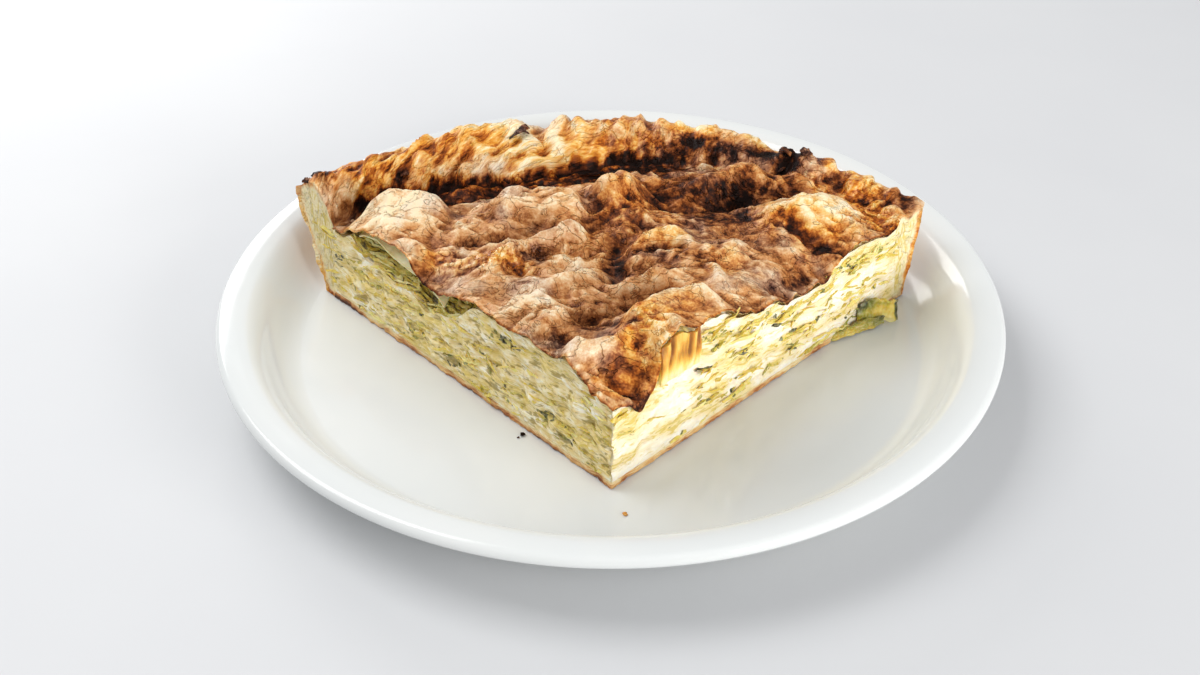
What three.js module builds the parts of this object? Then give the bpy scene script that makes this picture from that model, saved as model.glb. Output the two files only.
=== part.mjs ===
// A quarter wedge of gibanica (layered filo pie with a cheese, egg and leek filling) on a round
// white plate. Millimetres, +Z up, the origin at the centre of the plate's foot, on the table.
// The wedge's tip points to -Y, its baked outer wall and rim face +Y.
import * as THREE from 'three';
import { mergeVertices } from 'three/addons/utils/BufferGeometryUtils.js';

// Driving dimensions of the plate
const PLATE_RADIUS = 135;
const RIM_INNER_RADIUS = 123.5;
const RIM_TOP = 24.1;
const RIM_THICKNESS = 4.6;
const WELL_RADIUS = 108;
const WELL_FLOOR = 7;
const PLATE_UNDERSIDE = 2.6;
const FOOT_INNER_RADIUS = 84;
const FOOT_OUTER_RADIUS = 87;
const PLATE_SEGMENTS = 60;

// Driving dimensions of the wedge: where its tip stands, and the headings of its two cuts,
// measured from +Y, positive to the right
const TIP_X = 0.2;
const TIP_Y = -86.7;
const LEFT_CUT = THREE.MathUtils.degToRad(-43.6);
const RIGHT_CUT = THREE.MathUtils.degToRad(45);
const GAP = 0.4;

// Pastry case: distances from the tip and heights above the table. The wall flares less towards
// the right cut.
const BASE_BOTTOM = WELL_FLOOR + GAP;
const BASE_TOP = BASE_BOTTOM + 2.5;
const WALL_FOOT_OUTER = 151;
const WALL_FOOT_INNER = 145;
const WALL_FLARE = [[152.6, 15], [155.5, 24], [158.8, 33], [160.8, 41]];
const CREST_RADIUS = 153;
const SHOULDER_RADIUS = 161;
const FLARE_LOSS = 4.5;
const SHOULDER_HEIGHT = 44;

// Top crust
const CRUST_LEVEL = 45.6;
const CRUST_TILT = 0.02;
const CRUST_THICKNESS = 1.4;
const BEND_RADIUS = 2.2;
const MOST_BEND = THREE.MathUtils.degToRad(85);

const leftward = new THREE.Vector2(Math.sin(LEFT_CUT), Math.cos(LEFT_CUT));
const rightward = new THREE.Vector2(Math.sin(RIGHT_CUT), Math.cos(RIGHT_CUT));

// Folds and hollows of the baked top, each a straight or bowed ridge in plan: its middle x and y,
// its run, its heading in degrees from +X, its sideways bow, its height (a hollow's is negative)
// and its half widths to the left and to the right of its heading
const FOLDS = [
  { name: 'main ridge', at: [-24, 15], run: 21, heading: 1, bow: 1.5, height: 7.5, left: 6, right: 13 },
  { name: 'ridge peak', at: [1, 24], run: 6, heading: 30, bow: 0, height: 9.5, left: 7, right: 8 },
  { name: 'ridge shoulder', at: [-49, 6], run: 14, heading: 62, bow: 0, height: 3, left: 6, right: 8 },
  { name: 'ridge face hollow', at: [-9, 12], run: 14, heading: 70, bow: 0, height: -2, left: 5, right: 5 },
  { name: 'central spur', at: [12, 8], run: 22, heading: 125, bow: -1, height: 2.5, left: 7, right: 8 },
  { name: 'left hump', at: [-71, 12], run: 18, heading: 8, bow: 2, height: 6.5, left: 7, right: 10 },
  { name: 'hump foot', at: [-88, 4], run: 8, heading: 45, bow: 0, height: -4, left: 6, right: 6 },
  { name: 'hump gap', at: [-50, 20], run: 12, heading: 0, bow: 0, height: -5, left: 9, right: 5 },
  { name: 'left lip', at: [-69, -7], run: 12, heading: -45, bow: 0, height: 3, left: 6, right: 5 },
  { name: 'left valley', at: [-56, 0], run: 26, heading: 75, bow: 0, height: -3.5, left: 6, right: 5 },
  { name: 'ridge foot', at: [-36, -6], run: 26, heading: 20, bow: 0, height: -3.5, left: 5, right: 5 },
  { name: 'left pleat', at: [-52, -13], run: 22, heading: 12, bow: 1, height: 3, left: 3.5, right: 4 },
  { name: 'second fold', at: [-25, -11], run: 34, heading: 40, bow: 3, height: 6, left: 5, right: 3.5 },
  { name: 'second fold back', at: [-15, 4], run: 24, heading: 12, bow: 0, height: -3, left: 5, right: 5 },
  { name: 'second fold front', at: [-15, -10], run: 16, heading: 12, bow: 0, height: -3, left: 3, right: 4 },
  { name: 'right arch', at: [17, -10], run: 20, heading: 3, bow: 3, height: 4.8, left: 5, right: 3.5 },
  { name: 'right arch tail', at: [34, -13], run: 14, heading: 10, bow: -1, height: 4, left: 4.5, right: 4 },
  { name: 'lower arch', at: [17, -18], run: 18, heading: 3, bow: 2, height: 3, left: 3, right: 4 },
  { name: 'arch hollow', at: [1, -21], run: 30, heading: 85, bow: 0, height: -3.5, left: 5, right: 5 },
  { name: 'slant fold', at: [17, -30], run: 34, heading: 17, bow: 1, height: 5.5, left: 5, right: 5 },
  { name: 'slant hollow', at: [5, -42], run: 30, heading: 30, bow: 0, height: -4, left: 4.5, right: 4.5 },
  { name: 'front mound', at: [18, -51], run: 24, heading: 32, bow: 2, height: 9, left: 6, right: 13 },
  { name: 'mound mouth', at: [24, -60], run: 8, heading: 45, bow: 0, height: 4, left: 8, right: 8 },
  { name: 'mouth corner', at: [17, -69], run: 6, heading: 45, bow: 0, height: 4.5, left: 6, right: 6 },
  { name: 'flap foot', at: [8, -78], run: 4, heading: 45, bow: 0, height: -2.5, left: 4, right: 4 },
  { name: 'front lip', at: [-4, -68], run: 16, heading: 15, bow: 0, height: 6, left: 4, right: 6 },
  { name: 'tip slope', at: [3, -84], run: 8, heading: 90, bow: 0, height: -6.5, left: 9, right: 9 },
  { name: 'puffed bump', at: [-24, -45], run: 10, heading: -10, bow: 1, height: 4.5, left: 5, right: 5 },
  { name: 'bump brow', at: [-19, -54], run: 10, heading: 48, bow: 0, height: 3.5, left: 3, right: 3.5 },
  { name: 'thin pleat', at: [-17, -30], run: 22, heading: 25, bow: -1, height: 3.5, left: 3.5, right: 3 },
  { name: 'scorched flat', at: [-29, -21], run: 10, heading: 30, bow: 0, height: -2.5, left: 6, right: 6 },
  { name: 'right dome', at: [66, 12], run: 16, heading: 20, bow: 0, height: 7.5, left: 9, right: 13 },
  { name: 'dome crease', at: [64, 1], run: 16, heading: -45, bow: 0, height: -3.5, left: 3.5, right: 3.5 },
  { name: 'far right ridge', at: [68, 37], run: 24, heading: 25, bow: 0, height: 4.5, left: 5.5, right: 5 },
  { name: 'back right ridge', at: [42, 33], run: 24, heading: 25, bow: 2, height: 6.5, left: 6, right: 5 },
  { name: 'dark hollow', at: [32, 24], run: 26, heading: 10, bow: 0, height: -5, left: 5, right: 7 },
  { name: 'dark right hollow', at: [57, 29], run: 22, heading: 20, bow: 0, height: -5, left: 4, right: 5 },
  { name: 'right sag', at: [62, -22], run: 16, heading: 45, bow: 0, height: -6, left: 8, right: 8 },
  { name: 'right pleat', at: [44, -28], run: 20, heading: 30, bow: 0, height: 3, left: 5, right: 5 },
  { name: 'left cut sag', at: [-58, -25], run: 8, heading: -46, bow: 0, height: -4, left: 6, right: 6 },
  { name: 'glazed gutter', at: [88, 24], run: 34, heading: -65, bow: 0, height: -2.5, left: 6, right: 6 },
  { name: 'burnt lump', at: [66, 46], run: 9, heading: -20, bow: 0, height: 4, left: 4, right: 4 },
];

// Dips in the crest of the rim: heading in degrees, depth and half width in degrees
const CREST_DIPS = [[-31, 2, 5], [-10, 4.5, 1.6], [24.5, 3.2, 2.8]];

function smooth(t) {
  const s = THREE.MathUtils.clamp(t, 0, 1);
  return s * s * (3 - 2 * s);
}

function bell(distance, width) {
  return Math.exp(-((distance / width) ** 2));
}

function mix(from, to, share) {
  return from + (to - from) * share;
}

// Uneven dough: a few crossing waves, each turned by the golden angle and shorter than the last
function ripple(x, y, longest, height, waves, phase) {
  let sum = 0;
  for (let k = 0; k < waves; k += 1) {
    const turn = phase + 2.399963 * k;
    const length = longest / (1 + 0.31 * k);
    const along = x * Math.cos(turn) + y * Math.sin(turn);
    sum += Math.sin((2 * Math.PI * along) / length + 1.7 * k * k + phase);
  }
  return (height * sum) / Math.sqrt(waves);
}

function foldHeight(fold, x, y) {
  const heading = THREE.MathUtils.degToRad(fold.heading);
  const dx = x - fold.at[0];
  const dy = y - fold.at[1];
  const along = dx * Math.cos(heading) + dy * Math.sin(heading);
  const half = fold.run / 2;
  const held = THREE.MathUtils.clamp(along, -half, half);
  const bowed = fold.bow * (1 - (held / half) ** 2);
  const across = dy * Math.cos(heading) - dx * Math.sin(heading) - bowed;
  const side = across > 0 ? fold.left : fold.right;
  const past = (Math.abs(along) - Math.abs(held)) / Math.min(fold.left, fold.right);
  return fold.height * Math.exp(-(past ** 2) - (across / side) ** 2);
}

// The groove inside the rim, by heading: deep and wide on the left, shallow on the right
function grooveHeight(heading) {
  const share = THREE.MathUtils.clamp((heading + 43.6) / 88.6, 0, 1);
  return 39 + 5.5 * share ** 0.8;
}

function rimFoot(heading) {
  return 140 - 9 * bell(heading + 13, 14);
}

function grooveWidth(heading) {
  const openGroove = 12 + 8 * bell(heading + 13, 14);
  return mix(openGroove, 5, smooth(heading / 14));
}

// The crest of the rim is highest at the back and falls towards both cuts
function crestHeight(heading) {
  const left = 55 - 3.3 * ((heading + 5) / 39) ** 2;
  const right = 55 - 12 * (Math.max(heading + 5, 0) / 50) ** 1.5;
  let height = heading < -5 ? left : right;
  for (const [at, depth, width] of CREST_DIPS) {
    height -= depth * bell(heading - at, width);
  }
  const turn = THREE.MathUtils.degToRad(heading);
  return height + 0.7 * Math.sin(31 * turn) + 0.5 * Math.sin(53 * turn + 1);
}

function shoulderRadius(heading) {
  return SHOULDER_RADIUS - FLARE_LOSS * smooth((heading - 5) / 40);
}

// Height of the baked top at a place in plan, from the tip out to the rim's shoulder
function topHeight(x, y) {
  const out = Math.hypot(x - TIP_X, y - TIP_Y);
  const heading = THREE.MathUtils.radToDeg(Math.atan2(x - TIP_X, y - TIP_Y));
  const foot = rimFoot(heading);
  const groove = grooveHeight(heading);
  const crest = crestHeight(heading);
  const width = grooveWidth(heading);
  const intoGroove = smooth((out - foot + width) / (0.7 * width));
  let height = mix(CRUST_LEVEL - CRUST_TILT * x, groove, intoGroove);
  if (out > foot) {
    height = mix(groove, crest, smooth((out - foot) / (CREST_RADIUS - foot)) ** 0.85);
  }
  if (out > CREST_RADIUS) {
    const share = (out - CREST_RADIUS) / (shoulderRadius(heading) - CREST_RADIUS);
    height = mix(SHOULDER_HEIGHT, crest, Math.sqrt(Math.max(1 - share ** 2, 0)));
  }
  const inside = 1 - smooth((out - 148) / 10);
  const onRim = smooth((out - foot) / 6) * (1 - smooth((out - 155) / 5));
  for (const fold of FOLDS) {
    height += foldHeight(fold, x, y) * inside;
  }
  return height + ripple(x, y, 26, 0.7, 5, 0.6) * inside + ripple(x, y, 15, 0.9, 4, 2.1) * onRim;
}

// A place in the wedge: q runs along the left cut, p along the right cut
function place(q, p, z) {
  const x = TIP_X + q * leftward.x + p * rightward.x;
  const y = TIP_Y + q * leftward.y + p * rightward.y;
  return new THREE.Vector3(x, y, z);
}

function topAt(q, p) {
  const spot = place(q, p, 0);
  return topHeight(spot.x, spot.y);
}

// Spreads a square grid (a, b from 0 to 1) over the quarter round, out to reach(heading)
function sectorPlace(a, b, reach) {
  const q = a * Math.sqrt(1 - (b * b) / 2);
  const p = b * Math.sqrt(1 - (a * a) / 2);
  const spot = place(q, p, 0);
  const dx = spot.x - TIP_X;
  const dy = spot.y - TIP_Y;
  const heading = THREE.MathUtils.radToDeg(Math.atan2(dx, dy));
  const skew = Math.hypot(dx, dy) > 0 ? Math.hypot(q, p) / Math.hypot(dx, dy) : 1;
  const radius = reach(heading) * skew;
  return { q: q * radius, p: p * radius };
}

// Makes one closed body from loose triangles: corners are joined, slivers that fell together
// are dropped, and all faces are turned outward
function closedBody(triangles) {
  const soup = new THREE.BufferGeometry().setFromPoints(triangles.flat());
  const joined = mergeVertices(soup, 1e-4);
  const corners = joined.getAttribute('position');
  const indices = [];
  let volume = 0;
  const [one, two, three] = [new THREE.Vector3(), new THREE.Vector3(), new THREE.Vector3()];
  for (let i = 0; i < joined.index.count; i += 3) {
    const [r, s, t] = [joined.index.getX(i), joined.index.getX(i + 1), joined.index.getX(i + 2)];
    if (r === s || s === t || t === r) continue;
    indices.push(r, s, t);
    one.fromBufferAttribute(corners, r);
    two.fromBufferAttribute(corners, s);
    three.fromBufferAttribute(corners, t);
    volume += one.dot(two.cross(three)) / 6;
  }
  if (volume < 0) indices.reverse();
  joined.setIndex(indices);
  joined.computeVertexNormals();
  return joined;
}

function quad(corner, next, opposite, last) {
  return [[corner, next, opposite], [corner, opposite, last]];
}

// A body with an upper and a lower face over a grid, and a side of the given number of rows.
// pointAt(a, b, level) gives each corner; a flat base is a fan round its middle.
function block(columns, rows, levels, pointAt, flatBase = false) {
  const triangles = [];
  const corner = (i, j, k) => pointAt(i / columns, j / rows, k / levels);
  for (let i = 0; i < columns; i += 1) {
    for (let j = 0; j < rows; j += 1) {
      const upper = [corner(i, j, levels), corner(i + 1, j, levels)];
      upper.push(corner(i + 1, j + 1, levels), corner(i, j + 1, levels));
      triangles.push(...quad(...upper));
      if (flatBase) continue;
      const lower = [corner(i, j, 0), corner(i, j + 1, 0)];
      lower.push(corner(i + 1, j + 1, 0), corner(i + 1, j, 0));
      triangles.push([lower[0], lower[1], lower[2]], [lower[0], lower[2], lower[3]]);
    }
  }
  const loop = [];
  for (let i = 0; i < columns; i += 1) loop.push([i, 0]);
  for (let j = 0; j < rows; j += 1) loop.push([columns, j]);
  for (let i = columns; i > 0; i -= 1) loop.push([i, rows]);
  for (let j = rows; j > 0; j -= 1) loop.push([0, j]);
  loop.forEach(([i, j], index) => {
    const [iNext, jNext] = loop[(index + 1) % loop.length];
    for (let k = 0; k < levels; k += 1) {
      const low = [corner(i, j, k), corner(iNext, jNext, k)];
      triangles.push(...quad(low[0], low[1], corner(iNext, jNext, k + 1), corner(i, j, k + 1)));
    }
  });
  if (flatBase) {
    const middle = corner(columns / 2, rows / 2, 0);
    loop.forEach(([i, j], index) => {
      const [iNext, jNext] = loop[(index + 1) % loop.length];
      triangles.push([middle, corner(iNext, jNext, 0), corner(i, j, 0)]);
    });
  }
  return closedBody(triangles);
}

// A strip of even thickness along a middle line, laid by middle(t) and across(t)
function strip(steps, middle, across, thickness) {
  const pointAt = (a, b, level) => {
    const spot = middle(a);
    const ahead = middle(Math.min(a + 0.01, 1)).sub(middle(Math.max(a - 0.01, 0)));
    const side = across(a);
    const up = new THREE.Vector3().crossVectors(ahead, side).setLength(thickness * (level - 0.5));
    return spot.add(side.multiplyScalar(b - 0.5)).add(up);
  };
  return block(steps, 3, 1, pointAt);
}

const group = new THREE.Group();

function add(name, geometry, color, roughness) {
  const material = new THREE.MeshStandardMaterial({ color, roughness, metalness: 0 });
  const mesh = new THREE.Mesh(geometry, material);
  mesh.name = name;
  group.add(mesh);
}

// Plate: turned section from the underside's centre, over the foot ring, round the rolled edge
// and back across the rim and the well to the centre
function plate() {
  const edgeRadius = RIM_THICKNESS / 2;
  const edgeCentre = RIM_TOP - edgeRadius;
  const edgeStart = PLATE_RADIUS - edgeRadius;
  const section = new THREE.Path();
  section.moveTo(0, PLATE_UNDERSIDE);
  section.lineTo(FOOT_INNER_RADIUS - 2, PLATE_UNDERSIDE);
  section.lineTo(FOOT_INNER_RADIUS, 0);
  section.lineTo(FOOT_OUTER_RADIUS, 0);
  section.lineTo(FOOT_OUTER_RADIUS + 2.5, PLATE_UNDERSIDE);
  section.lineTo(WELL_RADIUS - 7, PLATE_UNDERSIDE + 0.4);
  section.quadraticCurveTo(WELL_RADIUS + 6, PLATE_UNDERSIDE + 1, WELL_RADIUS + 11, 11);
  section.quadraticCurveTo(RIM_INNER_RADIUS - 1.5, 18, RIM_INNER_RADIUS + 4, 19);
  section.lineTo(edgeStart, RIM_TOP - RIM_THICKNESS);
  section.absarc(edgeStart, edgeCentre, edgeRadius, -Math.PI / 2, Math.PI / 2, false);
  section.quadraticCurveTo(RIM_INNER_RADIUS + 5, RIM_TOP + 0.4, RIM_INNER_RADIUS + 1.5, RIM_TOP - 0.7);
  section.quadraticCurveTo(RIM_INNER_RADIUS - 1.5, RIM_TOP - 2, RIM_INNER_RADIUS - 4, 17);
  section.quadraticCurveTo(WELL_RADIUS + 7.5, WELL_FLOOR + 0.6, WELL_RADIUS, WELL_FLOOR);
  section.lineTo(0, WELL_FLOOR);
  const geometry = new THREE.LatheGeometry(section.getPoints(3), PLATE_SEGMENTS);
  geometry.rotateX(Math.PI / 2);
  return geometry;
}

// Pastry case: the thin browned base and the flared outer wall, whose sheets are folded in over
// the top as a puffed rim. Sections that pass through the tip are joined round the quarter.
const CASE_SECTIONS = 46;
const FLANK_STEPS = 6;
const SHOULDER_STEPS = 4;

function caseSection(heading) {
  const turn = THREE.MathUtils.degToRad(heading);
  const heightAt = (out) => topHeight(TIP_X + out * Math.sin(turn), TIP_Y + out * Math.cos(turn));
  const foot = rimFoot(heading);
  const shoulder = shoulderRadius(heading);
  const flare = (shoulder - WALL_FOOT_OUTER) / (SHOULDER_RADIUS - WALL_FOOT_OUTER);
  const section = [[0, BASE_BOTTOM], [WALL_FOOT_OUTER, BASE_BOTTOM]];
  for (const [radius, height] of WALL_FLARE) {
    const out = WALL_FOOT_OUTER + (radius - WALL_FOOT_OUTER) * flare;
    section.push([out + ripple(radius + height, 3 * heading, 21, 0.4, 3, 4.2), height]);
  }
  for (let k = 0; k < SHOULDER_STEPS; k += 1) {
    const round = (Math.PI / 2) * (k / SHOULDER_STEPS);
    const out = CREST_RADIUS + (shoulder - CREST_RADIUS) * Math.cos(round);
    section.push([out, heightAt(out)]);
  }
  for (let k = 0; k <= FLANK_STEPS; k += 1) {
    const out = mix(CREST_RADIUS, foot, k / FLANK_STEPS);
    section.push([out, heightAt(out)]);
  }
  const under = heightAt(foot) - CRUST_THICKNESS - GAP;
  section.push([foot, under], [WALL_FOOT_INNER, BASE_TOP], [0, BASE_TOP]);
  return section;
}

function pastryCase() {
  const left = THREE.MathUtils.radToDeg(LEFT_CUT);
  const right = THREE.MathUtils.radToDeg(RIGHT_CUT);
  const triangles = [];
  const rings = [];
  for (let k = 0; k <= CASE_SECTIONS; k += 1) {
    const heading = mix(left, right, k / CASE_SECTIONS);
    const turn = THREE.MathUtils.degToRad(heading);
    const flat = caseSection(heading);
    const toSpace = ([out, height]) => new THREE.Vector3(
      TIP_X + out * Math.sin(turn), TIP_Y + out * Math.cos(turn), height);
    rings.push({ flat, ring: flat.map(toSpace) });
  }
  for (let k = 0; k < CASE_SECTIONS; k += 1) {
    const [here, next] = [rings[k].ring, rings[k + 1].ring];
    here.forEach((point, i) => {
      const j = (i + 1) % here.length;
      triangles.push(...quad(point, next[i], next[j], here[j]));
    });
  }
  for (const [end, flip] of [[0, false], [CASE_SECTIONS, true]]) {
    const { flat, ring } = rings[end];
    const outline = flat.map(([out, height]) => new THREE.Vector2(out, height));
    for (const [r, s, t] of THREE.ShapeUtils.triangulateShape(outline, [])) {
      triangles.push(flip ? [ring[t], ring[s], ring[r]] : [ring[r], ring[s], ring[t]]);
    }
  }
  return closedBody(triangles);
}

// Top crust: one thin browned sheet, hugging its folds. Its edge hangs a little past both cuts,
// and over the tip it droops as a flap against the right cut. The grid has the filling's cells,
// and a few more past each cut for what hangs.
const CELLS = 28;
const HANG_CELLS = 3;
const CRUST_CELLS = CELLS + HANG_CELLS;
const FLAP_LENGTH = 17;

function hangPastRight(p) {
  const flap = 1.5 + 3.5 * smooth(p / 10);
  const edge = 0.9 + 0.5 * Math.sin(p / 5);
  return mix(flap, edge, smooth((p - FLAP_LENGTH) / 3));
}

function hangPastLeft(q) {
  return 1 + 0.6 * Math.sin(q / 6) + 1.5 * bell(q - 22, 6);
}

function drape(q, p, lift) {
  const qIn = Math.max(q, 0);
  const pIn = Math.max(p, 0);
  const past = Math.hypot(q - qIn, p - pIn);
  const spot = place(qIn, pIn, topAt(qIn, pIn));
  if (past === 0) {
    spot.z += lift;
    return spot;
  }
  const bend = Math.min(past / BEND_RADIUS, MOST_BEND);
  const hang = past - BEND_RADIUS * bend;
  const outward = place(q, p, 0).sub(place(qIn, pIn, 0)).normalize();
  const reach = (BEND_RADIUS + lift) * Math.sin(bend) + hang * Math.cos(bend);
  const drop = BEND_RADIUS - (BEND_RADIUS + lift) * Math.cos(bend) + hang * Math.sin(bend);
  spot.addScaledVector(outward, reach);
  spot.z -= drop;
  return spot;
}

function crustPoint(a, b, level) {
  const column = a * CRUST_CELLS - HANG_CELLS;
  const row = b * CRUST_CELLS - HANG_CELLS;
  const reach = (heading) => rimFoot(heading) - GAP;
  const { q, p } = sectorPlace(Math.max(column, 0) / CELLS, Math.max(row, 0) / CELLS, reach);
  const pastRight = (Math.min(column, 0) / HANG_CELLS) * hangPastRight(p);
  const pastLeft = (Math.min(row, 0) / HANG_CELLS) * hangPastLeft(q);
  return drape(q + pastRight, p + pastLeft, CRUST_THICKNESS * (level - 1));
}

// Filling: set cheese, egg and leek through the whole wedge, uneven on both cuts. Near the left
// cut the crust has lifted off it and left a hollow; the right cut is set back where a leaf of
// pastry and the flap lie against it.
const HOLLOW_DEPTH = 13;
const FILLING_BOTTOM = BASE_TOP + GAP;
const LEAF_SPAN = [21, 38];

function hollow(q, p) {
  const along = smooth((q - 62) / 34) * (1 - smooth((q - 118) / 16));
  return HOLLOW_DEPTH * along * bell(p, 15);
}

function fillingTop(q, p) {
  return topAt(q, p) - CRUST_THICKNESS - 0.5 - hollow(q, p);
}

function leafRecess(p, z) {
  const along = smooth((p - LEAF_SPAN[0] + 8) / 6) * (1 - smooth((p - LEAF_SPAN[1] - 2) / 6));
  return 2.2 * along * smooth((z - 29) / 5);
}

function fillingPoint(a, b, level) {
  const lower = sectorPlace(a, b, () => WALL_FOOT_INNER - GAP);
  const upper = sectorPlace(a, b, (heading) => rimFoot(heading) - GAP);
  const q = mix(lower.q, upper.q, level);
  const p = mix(lower.p, upper.p, level);
  const z = mix(FILLING_BOTTOM, fillingTop(upper.q, upper.p), level);
  const fade = level * (1 - level) * 4;
  const towardsCase = 1 - smooth(Math.hypot(a, b) * 20 - 19);
  const leftBulge = b === 0 ? 0.9 * ripple(q, z, 17, 0.8, 5, 1.3) * fade * towardsCase : 0;
  const rightBulge = a === 0 ? 0.9 * ripple(p, z, 19, 0.8, 5, 3.1) * fade * towardsCase : 0;
  const recess = a === 0 ? leafRecess(p, z) : 0;
  return place(q - rightBulge + recess, p - leftBulge, z);
}

// Inner leaf: a pale sheet of pastry bowed across the hollow behind the left cut
function innerLeafPoint(a, b, level) {
  const q = mix(83, 125, a);
  const p = mix(0.3, 11, b);
  const depth = hollow(q, p);
  const frontShare = 0.35 + 0.45 * smooth((q - 88) / 26);
  const share = mix(frontShare, 0.82, smooth(p / 8));
  const lower = fillingTop(q, p) + 0.5 + Math.max(depth - 2.6, 0) * share;
  return place(q, p, lower + 0.9 * level);
}

// Pleated leaf: pale sheets gathered upright in the mouth of the front mound
function pleatedLeafPoint(a, b, level) {
  const p = mix(LEAF_SPAN[0], LEAF_SPAN[1], a);
  const top = topAt(0, p) - CRUST_THICKNESS - 1.6;
  const z = mix(36, top, b);
  const pleat = 0.7 * Math.sin(1.15 * p) * (0.4 + 0.6 * b);
  const proud = 0.2 + pleat * 0.6 + 0.5 * Math.sin(Math.PI * b);
  return place(-proud + 1.1 * (1 - level), p, z);
}

// Leek strips: two limp green pieces that have slid out of the right cut on to the plate. Each
// stands on edge and leans away from the cut.
const LEEK_THICKNESS = 1.8;

function leekStrip(start, sag, end, width) {
  const spine = new THREE.QuadraticBezierCurve3(place(...start), place(...sag), place(...end));
  const outward = new THREE.Vector3(rightward.y, -rightward.x, 0);
  const across = (t) => {
    const lean = outward.clone().multiplyScalar(0.25 + 0.5 * t);
    return lean.add(new THREE.Vector3(0, 0, 1 - 0.3 * t)).setLength(width * (1 - 0.25 * t));
  };
  return strip(9, (t) => spine.getPoint(t), across, LEEK_THICKNESS);
}

add('plate', plate(), 0xf3f4f3, 0.12);
add('pastry_case', pastryCase(), 0xd9923f, 0.6);
add('filling', block(CELLS, CELLS, 6, fillingPoint, true), 0xe6ddaa, 0.55);
add('top_crust', block(CRUST_CELLS, CRUST_CELLS, 1, crustPoint), 0xb5763f, 0.5);
add('inner_leaf', block(12, 4, 1, innerLeafPoint), 0xe2d6a6, 0.6);
add('pleated_leaf', block(15, 4, 1, pleatedLeafPoint), 0xecd795, 0.6);
add('leek_strip_upper',
  leekStrip([-2.6, 125, 17], [-7, 133, 19], [-5.5, 141, 11.5], 6), 0xb3ab36, 0.4);
add('leek_strip_lower',
  leekStrip([-2.8, 121, 11.2], [-4.6, 128, 12], [-8.5, 135, 10], 4.4), 0x7d8a2a, 0.4);

export default group;
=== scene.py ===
import math

import bmesh
import bpy
import numpy as np
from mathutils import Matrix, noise


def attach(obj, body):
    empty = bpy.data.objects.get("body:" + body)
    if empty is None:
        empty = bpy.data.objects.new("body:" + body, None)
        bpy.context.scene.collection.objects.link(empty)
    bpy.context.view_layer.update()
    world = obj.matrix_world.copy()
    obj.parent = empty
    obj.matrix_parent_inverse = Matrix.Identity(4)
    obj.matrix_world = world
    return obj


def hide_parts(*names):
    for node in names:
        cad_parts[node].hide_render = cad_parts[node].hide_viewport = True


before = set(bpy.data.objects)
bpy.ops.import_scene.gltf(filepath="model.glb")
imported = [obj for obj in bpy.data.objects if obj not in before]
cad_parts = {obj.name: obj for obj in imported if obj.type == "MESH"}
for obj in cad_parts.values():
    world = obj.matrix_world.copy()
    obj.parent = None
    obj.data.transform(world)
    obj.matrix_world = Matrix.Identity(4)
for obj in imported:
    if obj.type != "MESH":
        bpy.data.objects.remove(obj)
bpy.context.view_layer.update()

# Plate
# A round dinner plate of thick white porcelain, pressed in one piece, with a flat well and a
# raised, rolled rim. Clear glaze covers all of it but the foot ring that it was fired on.
MM = 0.001
PLATE_RADIUS = 135
RIM_INNER_RADIUS = 123.5
RIM_TOP = 24.1
RIM_THICKNESS = 4.6
WELL_RADIUS = 108
WELL_FLOOR = 7
PLATE_UNDERSIDE = 2.6
FOOT_INNER_RADIUS = 84
FOOT_OUTER_RADIUS = 87
PLATE_SEGMENTS = 256
EDGE_STEPS = 12
UNGLAZED_BELOW = 0.5
WELD = 0.002
PORCELAIN = "dfe1df"
BARE_FOOT = "cfc7b8"


def srgb(code):
    """The colour of a hex code, as the shader's linear red, green, blue and alpha."""
    parts = [int(code[k:k + 2], 16) / 255 for k in (0, 2, 4)]
    return (*[((part + 0.055) / 1.055) ** 2.4 for part in parts], 1)


def add_node(tree, kind, inputs, **settings):
    """One node, its sockets set to values or joined to other nodes' outputs."""
    node = tree.nodes.new(kind)
    for setting, value in settings.items():
        setattr(node, setting, value)
    for socket, value in inputs.items():
        if isinstance(value, bpy.types.NodeSocket):
            tree.links.new(value, node.inputs[socket])
        else:
            node.inputs[socket].default_value = value
    return node


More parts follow.
